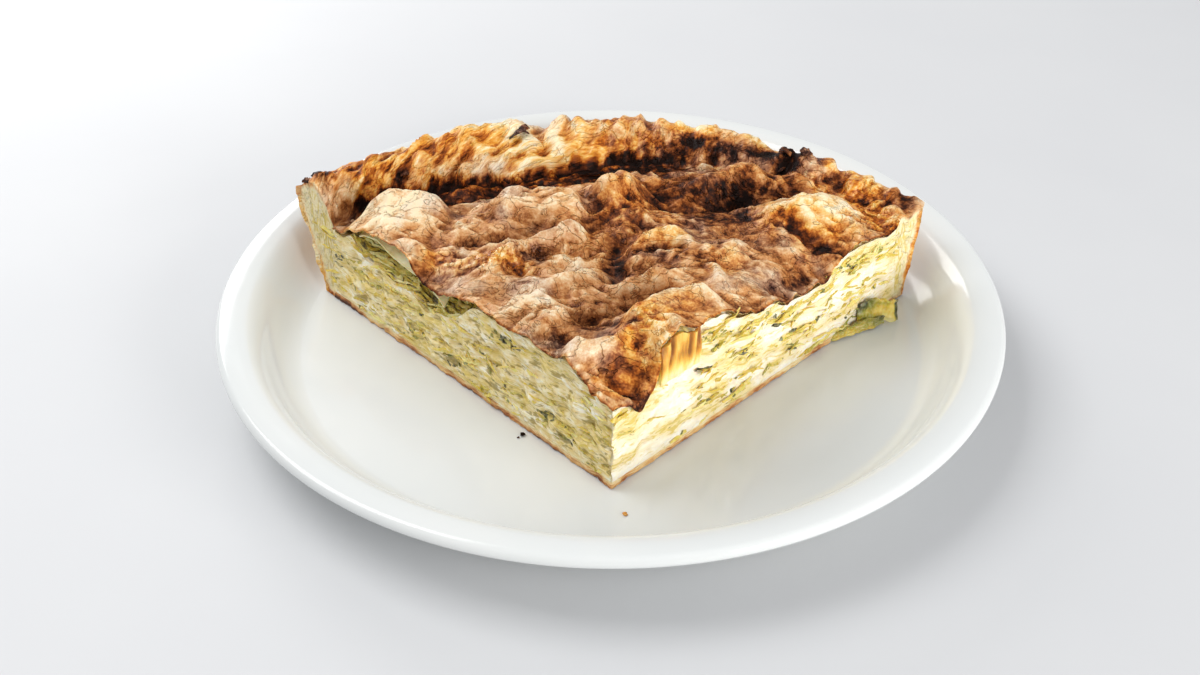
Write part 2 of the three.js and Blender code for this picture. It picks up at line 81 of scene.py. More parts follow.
class Finish:
    """A surface finish, made of noise in millimetres and of marks kept on the mesh."""

    def __init__(self, name, steady):
        self.material = bpy.data.materials.new(name)
        self.material.use_nodes = True
        self.tree = self.material.node_tree
        self.shader = self.tree.nodes["Principled BSDF"]
        for socket, value in steady.items():
            self.shader.inputs[socket].default_value = value
        self.place = add_node(self.tree, "ShaderNodeTexCoord", {}).outputs["Object"]
        self.unit = 1 / MM

    def follow(self, mark):
        """Reads patterns from a place in millimetres that the mesh keeps, not from its position."""
        self.place = self.mark(mark, "Vector")
        self.unit = 1

    def mark(self, name, output="Fac"):
        return add_node(self.tree, "ShaderNodeAttribute", {}, attribute_name=name).outputs[output]

    def noise(self, size, detail=2, warp=0, stretch=(1, 1, 1), shift=0):
        scale = [self.unit / (size * length) for length in stretch]
        sockets = {"Vector": self.place, "Scale": scale, "Location": [shift] * 3}
        spot = add_node(self.tree, "ShaderNodeMapping", sockets).outputs[0]
        sockets = {"Vector": spot, "Scale": 1, "Detail": detail, "Distortion": warp}
        return add_node(self.tree, "ShaderNodeTexNoise", sockets).outputs[0]

    def maths(self, operation, first, second=0.0):
        sockets = {0: first, 1: second}
        return add_node(self.tree, "ShaderNodeMath", sockets, operation=operation).outputs[0]

    def times(self, first, second):
        return self.maths("MULTIPLY", first, second)

    def swing(self, wave, amount):
        """Noise from 0 to 1, turned into a change either way of up to half the amount."""
        return self.times(self.maths("SUBTRACT", wave, 0.5), amount)

    def uneven(self, amount, *size, **kind):
        """A change either way of up to half the amount, by noise."""
        return self.swing(self.noise(*size, **kind), amount)

    def total(self, *parts):
        result = parts[0]
        for part in parts[1:]:
            result = self.maths("ADD", result, part)
        return result

    def ramp(self, share, *stops):
        """Runs through (place, colour code or number) stops."""
        node = add_node(self.tree, "ShaderNodeValToRGB", {0: share})
        points = node.color_ramp.elements
        while len(points) < len(stops):
            points.new(1)
        for point, (spot, value) in zip(points, stops):
            point.position = spot
            point.color = srgb(value) if isinstance(value, str) else (value, value, value, 1)
        return node.outputs[0]

    def mixed(self, share, first, second, blend="MIX"):
        first, second = [srgb(c) if isinstance(c, str) else c for c in (first, second)]
        sockets = {0: share, 6: first, 7: second}
        node = add_node(self.tree, "ShaderNodeMix", sockets, data_type="RGBA", blend_type=blend)
        return node.outputs[2]

    def bump(self, height, depth, under=None):
        sockets = {"Height": height, "Distance": depth * MM}
        if under is not None:
            sockets["Normal"] = under
        return add_node(self.tree, "ShaderNodeBump", sockets).outputs[0]

    def join(self, **outputs):
        """Joins outputs to the shader: base_color, roughness, specular or normal."""
        sockets = {"base_color": "Base Color", "specular": "Specular IOR Level"}
        for name, output in outputs.items():
            self.tree.links.new(output, self.shader.inputs[sockets.get(name, name.title())])


def new_piece(name, corners, faces, finish, slot, sharp=40, replaced=(), **marks):
    """One closed mesh from corners in millimetres, its faces turned outward, riding on the part.
    A mark is kept on its corners: one value each, or one number for all of them."""
    mesh = new_mesh(name, np.asarray(corners) * MM, faces)
    for mark, values in marks.items():
        values = np.asarray(values, dtype=np.float32)
        if values.ndim == 0:
            values = np.full(len(corners), values)
        kind, field = ("FLOAT", "value") if values.ndim == 1 else ("FLOAT_VECTOR", "vector")
        mesh.attributes.new(mark, kind, "POINT").data.foreach_set(field, values.ravel())
    turn_outward(mesh, WELD * MM)
    mesh.polygons.foreach_set("use_smooth", [True] * len(mesh.polygons))
    mesh.set_sharp_from_angle(angle=math.radians(sharp))
    settle(new_object(name, mesh), finish, replaced)


def new_mesh(name, spots, faces):
    """A mesh; a face whose last two corners are the same is a triangle."""
    faces = [face[:3] if face[2] == face[-1] else face for face in np.asarray(faces).tolist()]
    mesh = bpy.data.meshes.new(name)
    mesh.from_pydata(np.asarray(spots).tolist(), [], faces)
    return mesh


def turn_outward(mesh, weld=0):
    """Turns the faces of a closed mesh outward, with corners closer than weld joined."""
    shell = bmesh.new()
    shell.from_mesh(mesh)
    if weld > 0:
        bmesh.ops.remove_doubles(shell, verts=shell.verts, dist=weld)
    bmesh.ops.recalc_face_normals(shell, faces=shell.faces)
    shell.to_mesh(mesh)
    shell.free()


def new_object(name, data):
    item = bpy.data.objects.new(name, data)
    bpy.context.scene.collection.objects.link(item)
    return item


def settle(piece, finish, replaced=()):
    """Gives a finished mesh its finish, and makes it ride on the part."""
    piece.data.materials.clear()
    piece.data.materials.append(finish.material)
    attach(piece, "root")
    for node in replaced:
        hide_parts(node)


def bend(start, handle, end, steps):
    """Points of a quadratic curve, without its first."""
    t = np.linspace(0, 1, steps + 1)[1:, None]
    start, handle, end = np.array(start), np.array(handle), np.array(end)
    return ((1 - t) ** 2 * start + 2 * t * (1 - t) * handle + t ** 2 * end).tolist()


def turned(section, segments):
    """Corners and faces of a section that starts and ends on the axis, turned about it."""
    turns = np.linspace(0, 2 * math.pi, segments, endpoint=False)
    radii, heights = np.array(section).T
    rings = [np.outer(radii, np.cos(turns)), np.outer(radii, np.sin(turns))]
    rings.append(np.outer(heights, np.ones(segments)))
    corners = np.stack(rings, axis=2).reshape(-1, 3)
    number = np.arange(len(section) * segments).reshape(-1, segments)
    after = np.roll(number, -1, axis=1)
    quads = np.stack([number[:-1], number[1:], after[1:], after[:-1]], axis=2).reshape(-1, 4)
    return corners, quads


edge_radius = RIM_THICKNESS / 2
edge_start = PLATE_RADIUS - edge_radius
edge_centre = RIM_TOP - edge_radius
well_foot = (WELL_RADIUS - 7, PLATE_UNDERSIDE + 0.4)
outer_turn = (WELL_RADIUS + 11, 11)
under_rim = (RIM_INNER_RADIUS + 4, 19)
inner_lip = (RIM_INNER_RADIUS + 1.5, RIM_TOP - 0.7)
inner_slope = (RIM_INNER_RADIUS - 4, 17)
plate_section = [(0, PLATE_UNDERSIDE), (40, PLATE_UNDERSIDE), (FOOT_INNER_RADIUS - 2, PLATE_UNDERSIDE)]
plate_section += bend((FOOT_INNER_RADIUS - 0.6, 0.8), (FOOT_INNER_RADIUS, 0),
                      (FOOT_INNER_RADIUS + 0.7, 0), 4)
plate_section += bend((FOOT_OUTER_RADIUS - 0.7, 0), (FOOT_OUTER_RADIUS, 0),
                      (FOOT_OUTER_RADIUS + 0.8, 0.8), 4)
plate_section += [(FOOT_OUTER_RADIUS + 2.5, PLATE_UNDERSIDE), well_foot]
plate_section += bend(well_foot, (WELL_RADIUS + 6, PLATE_UNDERSIDE + 1), outer_turn, 10)
plate_section += bend(outer_turn, (RIM_INNER_RADIUS - 1.5, 18), under_rim, 8)
for step in range(EDGE_STEPS + 1):
    round_edge = math.pi * (step / EDGE_STEPS - 0.5)
    plate_section.append((edge_start + edge_radius * math.cos(round_edge),
                          edge_centre + edge_radius * math.sin(round_edge)))
plate_section += bend(plate_section[-1], (RIM_INNER_RADIUS + 5, RIM_TOP + 0.4), inner_lip, 8)
plate_section += bend(inner_lip, (RIM_INNER_RADIUS - 1.5, RIM_TOP - 2), inner_slope, 8)
plate_section += bend(inner_slope, (WELL_RADIUS + 7.5, WELL_FLOOR + 0.6), (WELL_RADIUS, WELL_FLOOR), 14)
plate_section += [(80, WELL_FLOOR), (40, WELL_FLOOR), (0, WELL_FLOOR)]
plate_corners, plate_faces = turned(plate_section, PLATE_SEGMENTS)

porcelain = Finish("glazed porcelain", {"IOR": 1.5, "Specular IOR Level": 0.5})
cloud = porcelain.noise(60, detail=3)
glaze = porcelain.mixed(porcelain.ramp(cloud, (0.35, 0.0), (0.65, 1.0)), PORCELAIN, "dbdedd")
smear = porcelain.noise(34, detail=5, warp=1.2)
sheen = porcelain.ramp(smear, (0.45, 0.09), (0.62, 0.17))
foot_bare = porcelain.mark("bare")
porcelain.join(
    base_color=porcelain.mixed(foot_bare, glaze, BARE_FOOT),
    roughness=porcelain.mixed(foot_bare, sheen, (0.8, 0.8, 0.8, 1)),
    normal=porcelain.bump(porcelain.noise(9, detail=1), 0.01))
new_piece("dinner_plate", plate_corners, plate_faces, porcelain, "glazed_porcelain",
          replaced=["plate"], bare=plate_corners[:, 2] < UNGLAZED_BELOW)

# Base sheets
# A few sheets of thin pastry under the filling, pressed together and fried brown where they
# touched the tin. They lie on the plate and end at both cuts.
TIP_X = 0.2
TIP_Y = -86.7
LEFT_HEADING = -43.6
RIGHT_HEADING = 45
LEFT_CUT = math.radians(LEFT_HEADING)
RIGHT_CUT = math.radians(RIGHT_HEADING)
LEFT_OUTWARD = np.array([-math.cos(LEFT_CUT), math.sin(LEFT_CUT), 0])
RIGHT_OUTWARD = np.array([math.cos(RIGHT_CUT), -math.sin(RIGHT_CUT), 0])
GAP = 0.4
BASE_BOTTOM = WELL_FLOOR + GAP
BASE_TOP = BASE_BOTTOM + 2.5
WALL_FOOT_INNER = 145
BASE_CELLS = 240
BASE_LEVELS = 4
MOST_PROUD = 2.5


def smooth(t):
    s = np.clip(t, 0, 1)
    return s * s * (3 - 2 * s)


def bell(distance, width):
    return np.exp(-((distance / width) ** 2))


def mix(start, end, share):
    return start + (end - start) * share


def spots_of(x, y, z):
    """Places as rows; any of the three measures may be one number for all."""
    return np.stack(np.broadcast_arrays(x, y, z), axis=-1)


def lumps(spots, size, shift=0.0):
    """Smooth noise from -1 to 1, with lumps about the given size in millimetres."""
    scaled = np.asarray(spots) / size + shift
    return np.array([noise.noise(spot) for spot in scaled.tolist()])


def grid_faces(number):
    """Faces of a grid of numbered corners."""
    ring = [number[:-1, :-1], number[1:, :-1], number[1:, 1:], number[:-1, 1:]]
    return np.stack([part.ravel() for part in ring], axis=1)


def block_skin(columns, rows, levels, fans=()):
    """The skin of a block of cells: its corners, from 0 to 1 each way, and its faces. An end of
    the last way that fans names is closed by triangles round its middle."""
    shape = (columns + 1, rows + 1, levels + 1)
    number = np.arange(math.prod(shape)).reshape(shape)
    faces = []
    for way in range(3):
        for end in (0, -1):
            side = np.take(number, end, axis=way)
            if way == 2 and end in fans:
                loop = np.concatenate([side[:-1, 0], side[-1, :-1], side[:0:-1, -1], side[0, :0:-1]])
                middle = np.full(len(loop), side[columns // 2, rows // 2])
                faces.append(np.stack([loop, np.roll(loop, -1), middle, middle], axis=1))
                continue
            faces.append(grid_faces(side))
    used, faces = np.unique(np.concatenate(faces), return_inverse=True)
    along = np.stack(np.unravel_index(used, shape), axis=1) / (columns, rows, levels)
    return along.T, faces.reshape(-1, 4)


def proud_of_surroundings(corners, faces, near_rounds, far_rounds):
    """How far each corner stands above the smoothed height round it, near and far together."""
    ends = np.concatenate([faces[:, [k, (k + 1) % 4]] for k in range(4)])
    count = np.maximum(np.bincount(ends[:, 0], minlength=len(corners)), 1)
    smoothed = corners[:, 2]
    for round_number in range(far_rounds):
        smoothed = np.bincount(ends[:, 0], smoothed[ends[:, 1]], len(corners)) / count
        if round_number + 1 == near_rounds:
            proud = 3 * (corners[:, 2] - smoothed)
    return np.clip(proud + corners[:, 2] - smoothed, -MOST_PROUD, MOST_PROUD)


def place(q, p, z):
    """A place in the wedge: q millimetres along the left cut and p along the right cut."""
    x = TIP_X + q * math.sin(LEFT_CUT) + p * math.sin(RIGHT_CUT)
    y = TIP_Y + q * math.cos(LEFT_CUT) + p * math.cos(RIGHT_CUT)
    return spots_of(x, y, z)


def sector(a, b, reach):
    """Spreads a square grid over the quarter round, out to reach(heading), as q and p."""
    q = a * np.sqrt(1 - b * b / 2)
    p = b * np.sqrt(1 - a * a / 2)
    dx = q * math.sin(LEFT_CUT) + p * math.sin(RIGHT_CUT)
    dy = q * math.cos(LEFT_CUT) + p * math.cos(RIGHT_CUT)
    heading = np.degrees(np.arctan2(dx, dy))
    length = np.hypot(dx, dy)
    radius = reach(heading) * np.where(length > 0, np.hypot(q, p) / np.maximum(length, 1e-9), 1)
    return q * radius, p * radius


def pushed_out(at, *cuts):
    """Places of a block, moved square to its cuts: each is a mask, the way out and how far."""
    corners = at.copy()
    for on_cut, outward, distance in cuts:
        corners[on_cut] = (at + distance[:, None] * outward)[on_cut]
    return corners


(a, b, level), base_faces = block_skin(BASE_CELLS, BASE_CELLS, BASE_LEVELS, fans=(0, -1))
q, p = sector(a, b, lambda heading: WALL_FOOT_INNER + 0.2)
u = q + p
sheet_edge = 0.6 * lumps(spots_of(u, 3 * level, a - b), 5) + 0.5 * lumps(spots_of(u, level, a), 1.6)
height = mix(BASE_BOTTOM, BASE_TOP, level) + 0.35 * lumps(spots_of(u, 0, level), 9) * level
base_corners = pushed_out(place(q, p, height), (b == 0, LEFT_OUTWARD, sheet_edge),
                          (a == 0, RIGHT_OUTWARD, 0.7 * sheet_edge - 0.2))
base_corners[:, 2] = np.maximum(base_corners[:, 2], BASE_BOTTOM)
base_grain = spots_of(u, 2 * (a - b), height)
scorch = np.where(a == 0, 0.2, 0.3 + 0.3 * smooth((u - 125) / 15))

base_crust = Finish("fried base pastry", {"Roughness": 0.6, "Subsurface Weight": 0.08,
                                          "Subsurface Scale": 0.002})
base_crust.follow("grain")
fried = base_crust.total(
    base_crust.noise(16, detail=3, stretch=(1, 1, 0.6)),
    base_crust.uneven(0.7, 1.6, detail=3, stretch=(2.5, 1, 0.4)),
    base_crust.times(base_crust.mark("low"), base_crust.mark("scorch")))
base_crust.join(
    base_color=base_crust.ramp(fried, (0.45, "eddcab"), (0.6, "e3b877"), (0.76, "b8743a"),
                               (0.9, "7c4522"), (1.0, "4a2815")),
    normal=base_crust.bump(base_crust.noise(1.1, detail=3), 0.25))
new_piece("base_sheets", base_corners, base_faces, base_crust, "baked_pastry_case",
          replaced=["pastry_case"], grain=base_grain, low=1 - level, scorch=scorch)

# Outer wall and rim
# The pastry sheets run up the side of the tin and are folded in over the top, where they puff
# into a thick, pleated and blistered rim. Baked pale inside, golden to scorched outside.
WALL_FOOT_OUTER = 151
CREST_RADIUS = 153
SHOULDER_RADIUS = 161
FLARE_LOSS = 4.5
SHOULDER_HEIGHT = 44
CRUST_LEVEL = 45.6
CRUST_TILT = 0.02
CRUST_THICKNESS = 1.4
WALL_COLUMNS = 330
WALL_ROWS = 44
WALL_DEPTHS = 30
CREST_SHARE = 0.62
LIP_HEIGHT = 4.2
PLEAT_SPACING = 14

# Folds and hollows of the baked top: middle x and y, run, heading in degrees from +X, sideways
# bow, height (a hollow's is negative), half width to the left and to the right of the heading
FOLDS = {
    "main ridge": ((-24, 15), 21, 1, 1.5, 7.5, 6, 13),
    "ridge peak": ((1, 24), 6, 30, 0, 9.5, 7, 8),
    "ridge shoulder": ((-49, 6), 14, 62, 0, 3, 6, 8),
    "ridge face hollow": ((-9, 12), 14, 70, 0, -2, 5, 5),
    "central spur": ((12, 8), 22, 125, -1, 2.5, 7, 8),
    "left hump": ((-71, 12), 18, 8, 2, 6.5, 7, 10),
    "hump foot": ((-88, 4), 8, 45, 0, -4, 6, 6),
    "hump gap": ((-50, 20), 12, 0, 0, -5, 9, 5),
    "left lip": ((-69, -7), 12, -45, 0, 3, 6, 5),
    "left valley": ((-56, 0), 26, 75, 0, -3.5, 6, 5),
    "ridge foot": ((-36, -6), 26, 20, 0, -3.5, 5, 5),
    "left pleat": ((-52, -13), 22, 12, 1, 3, 3.5, 4),
    "second fold": ((-25, -11), 34, 40, 3, 4.6, 5, 3.5),
    "second fold back": ((-15, 4), 24, 12, 0, -3, 5, 5),
    "second fold front": ((-15, -10), 16, 12, 0, -3, 3, 4),
    "right arch": ((17, -10), 20, 3, 3, 3.8, 5, 3.5),
    "right arch tail": ((34, -13), 14, 10, -1, 4, 4.5, 4),
    "lower arch": ((17, -18), 18, 3, 2, 3, 3, 4),
    "arch hollow": ((1, -21), 30, 85, 0, -3.5, 5, 5),
    "slant fold": ((17, -30), 34, 17, 1, 4.4, 5, 5),
    "slant hollow": ((5, -42), 30, 30, 0, -4, 4.5, 4.5),
    "front mound": ((18, -51), 24, 32, 2, 9, 6, 13),
    "mound mouth": ((24, -60), 8, 45, 0, 4, 8, 8),
    "mouth corner": ((17, -69), 6, 45, 0, 4.5, 6, 6),
    "flap foot": ((8, -78), 4, 45, 0, -2.5, 4, 4),
    "front lip": ((-4, -68), 16, 15, 0, 6, 4, 6),
    "tip slope": ((3, -84), 8, 90, 0, -6.5, 9, 9),
    "puffed bump": ((-24, -45), 10, -10, 1, 3, 5, 5),
    "bump brow": ((-19, -54), 10, 48, 0, 3.5, 3, 3.5),
    "thin pleat": ((-17, -30), 22, 25, -1, 2.6, 3.5, 3),
    "scorched flat": ((-29, -21), 10, 30, 0, -0.8, 6, 6),
    "right dome": ((66, 12), 16, 20, 0, 7.5, 9, 13),
    "dome crease": ((64, 1), 16, -45, 0, -3.5, 3.5, 3.5),
    "far right ridge": ((68, 37), 24, 25, 0, 4.5, 5.5, 5),
    "back right ridge": ((42, 33), 24, 25, 2, 6.5, 6, 5),
    "dark hollow": ((32, 24), 26, 10, 0, -5, 5, 7),
    "dark right hollow": ((57, 29), 22, 20, 0, -5, 4, 5),
    "right sag": ((62, -22), 16, 45, 0, -6, 8, 8),
    "right pleat": ((44, -28), 20, 30, 0, 3, 5, 5),
    "left cut sag": ((-58, -25), 8, -46, 0, -4, 6, 6),
    "glazed gutter": ((88, 24), 34, -65, 0, -2.5, 6, 6),
    "burnt lump": ((66, 46), 9, -20, 0, 4, 4, 4),
    "burnt blister": ((-101, 26.5), 7, 131, 0, 2.2, 2.6, 2.6),
}
# Dips of the rim's crest: heading, depth, half width in degrees
CREST_DIPS = [(-31, 2, 5), (-10, 4.5, 1.6), (24.5, 3.2, 2.8)]
CREST_HEIGHT = 55
CREST_PEAK = -5
LEFT_FALL = 3.3
RIGHT_FALL = 12
FOLDS_END = 148
RIM_RIPPLE_END = 155
# The groove behind the crust: its least height and its rise to the right, its widths on the left
# and on the right, the heading where it is widest, and how far in the rim's foot lies there
GROOVE_LOW = 39
GROOVE_RISE = 5.5
GROOVE_WIDTHS = (12, 5)
GROOVE_WIDENING = 8
WIDEST_HEADING = -13
WIDE_SPREAD = 14
RIM_FOOT = 140
FOOT_SHIFT = 9
GOLDEN_ANGLE = 2.399963


def from_tip(x, y):
    """Distance from the wedge's tip, and heading in degrees from +Y."""
    return np.hypot(x - TIP_X, y - TIP_Y), np.degrees(np.arctan2(x - TIP_X, y - TIP_Y))


def round_tip(out, turn):
    """The place in plan at a distance and a heading in radians from the wedge's tip."""
    return TIP_X + out * np.sin(turn), TIP_Y + out * np.cos(turn)


def ripple(x, y, longest, height, waves, phase):
    """Uneven dough: crossing waves, each turned by the golden angle and shorter than the last."""
    total = 0
    for k in range(waves):
        turn = phase + GOLDEN_ANGLE * k
        length = longest / (1 + 0.31 * k)
        along = x * math.cos(turn) + y * math.sin(turn)
        total = total + np.sin(2 * math.pi * along / length + 1.7 * k * k + phase)
    return height * total / math.sqrt(waves)


def along_and_across(at, heading, x, y):
    """How far places lie from a point along a heading from +X, and to the left of it."""
    turn = math.radians(heading)
    dx = x - at[0]
    dy = y - at[1]
    along = dx * math.cos(turn) + dy * math.sin(turn)
    return along, dy * math.cos(turn) - dx * math.sin(turn)


def fold_height(x, y, at, run, heading, bow, height, left, right):
    """What one fold adds at places in plan: full height along its run, less past its ends."""
    along, across = along_and_across(at, heading, x, y)
    half = run / 2
    held = np.clip(along, -half, half)
    across = across - bow * (1 - (held / half) ** 2)
    side = np.where(across > 0, left, right)
    past = (np.abs(along) - np.abs(held)) / min(left, right)
    return height * np.exp(-(past ** 2) - (across / side) ** 2)


def rim_foot(heading):
    return RIM_FOOT - FOOT_SHIFT * bell(heading - WIDEST_HEADING, WIDE_SPREAD)


def groove_height(heading):
    across = (heading - LEFT_HEADING) / (RIGHT_HEADING - LEFT_HEADING)
    return GROOVE_LOW + GROOVE_RISE * np.clip(across, 0, 1) ** 0.8


def groove_width(heading):
    left, right = GROOVE_WIDTHS
    widened = left + GROOVE_WIDENING * bell(heading - WIDEST_HEADING, WIDE_SPREAD)
    return mix(widened, right, smooth(heading / WIDE_SPREAD))


def lip_line(heading):
    """Where the puffed rim ends in a lip over the groove."""
    ragged = 0.9 * np.sin(heading * 0.9) + 0.6 * np.sin(heading * 2.3 + 1)
    return rim_foot(heading) + 2 - 1.6 * bell(heading - WIDEST_HEADING, 8) + ragged


def lip_share(heading):
    return 1 - smooth((heading - 2) / 12)


def crest_height(heading):
    past_peak = heading - CREST_PEAK
    height = CREST_HEIGHT - np.where(past_peak < 0, LEFT_FALL * (past_peak / 39) ** 2,
                                     RIGHT_FALL * (np.maximum(past_peak, 0) / 50) ** 1.5)
    for at, depth, width in CREST_DIPS:
        height = height - depth * bell(heading - at, width)
    turn = np.radians(heading)
    return height + 0.7 * np.sin(31 * turn) + 0.5 * np.sin(53 * turn + 1)


def shoulder_radius(heading):
    return SHOULDER_RADIUS - FLARE_LOSS * smooth((heading - 5) / 40)


def top_height(x, y):
    """Height of the baked top at a place in plan, from the tip out to the rim's shoulder."""
    out, heading = from_tip(x, y)
    foot = rim_foot(heading)
    groove = groove_height(heading)
    crest = crest_height(heading)
    width = groove_width(heading)
    into_groove = smooth((out - foot + width) / (0.7 * width))
    height = mix(CRUST_LEVEL - CRUST_TILT * x, groove, into_groove)
    up_flank = smooth((out - foot) / (CREST_RADIUS - foot)) ** 0.85
    lip = smooth((out - lip_line(heading)) / 2) - smooth((out - foot - 5) / 10)
    flank = mix(groove, crest, up_flank) + LIP_HEIGHT * lip_share(heading) * np.maximum(lip, 0)
    height = np.where(out > foot, flank, height)
    past_crest = (out - CREST_RADIUS) / (shoulder_radius(heading) - CREST_RADIUS)
    rounded = mix(SHOULDER_HEIGHT, crest, np.sqrt(np.maximum(1 - past_crest ** 2, 0)))
    height = np.where(out > CREST_RADIUS, rounded, height)
    inside = 1 - smooth((out - FOLDS_END) / 10)
    on_rim = smooth((out - foot) / 6) * (1 - smooth((out - RIM_RIPPLE_END) / 5))
    for fold in FOLDS.values():
        height = height + fold_height(x, y, *fold) * inside
    return height + ripple(x, y, 26, 0.7, 5, 0.6) * inside + ripple(x, y, 15, 0.9, 4, 2.1) * on_rim


def wall_section(heading, up, depth):
    """Distance from the tip and height in the wall: up from its foot, depth from inside to skin."""
    turn = np.radians(heading)
    foot = rim_foot(heading)
    shoulder = shoulder_radius(heading)
    rising = np.clip(depth / CREST_SHARE, 0, 1)
    falling = np.clip((depth - CREST_SHARE) / (1 - CREST_SHARE), 0, 1)
    top_out = mix(foot, CREST_RADIUS, rising)
    top_out = top_out + (shoulder - CREST_RADIUS) * np.sin(falling * math.pi / 2)
    top_z = top_height(*round_tip(top_out, turn))
    foot_z = top_height(*round_tip(foot, turn))
    skin_z = mix(BASE_BOTTOM, SHOULDER_HEIGHT, up)
    skin_out = WALL_FOOT_OUTER + (shoulder - WALL_FOOT_OUTER) * smooth(up)
    inner_out = mix(WALL_FOOT_INNER, foot, up)
    inner_z = mix(BASE_BOTTOM, foot_z, up)
    bottom_out = mix(WALL_FOOT_INNER, WALL_FOOT_OUTER, depth)

    def patch(bottom, top, inner, skin, corners):
        low_in, low_out, high_in, high_out = corners
        between = mix(bottom, top, up) + mix(inner, skin, depth)
        return between - mix(mix(low_in, low_out, depth), mix(high_in, high_out, depth), up)

    out = patch(bottom_out, top_out, inner_out, skin_out,
                (WALL_FOOT_INNER, WALL_FOOT_OUTER, foot, shoulder))
    z = patch(BASE_BOTTOM, top_z, inner_z, skin_z,
              (BASE_BOTTOM, BASE_BOTTOM, foot_z, SHOULDER_HEIGHT))
    return out, z


def grow(corners, faces, heights):
    """Moves each corner along its normal, by heights in millimetres."""
    mesh = new_mesh("growing", corners, faces)
    turn_outward(mesh)
    normals = np.empty(len(corners) * 3)
    mesh.vertex_normals.foreach_get("vector", normals)
    bpy.data.meshes.remove(mesh)
    return corners + normals.reshape(-1, 3) * np.asarray(heights)[:, None]


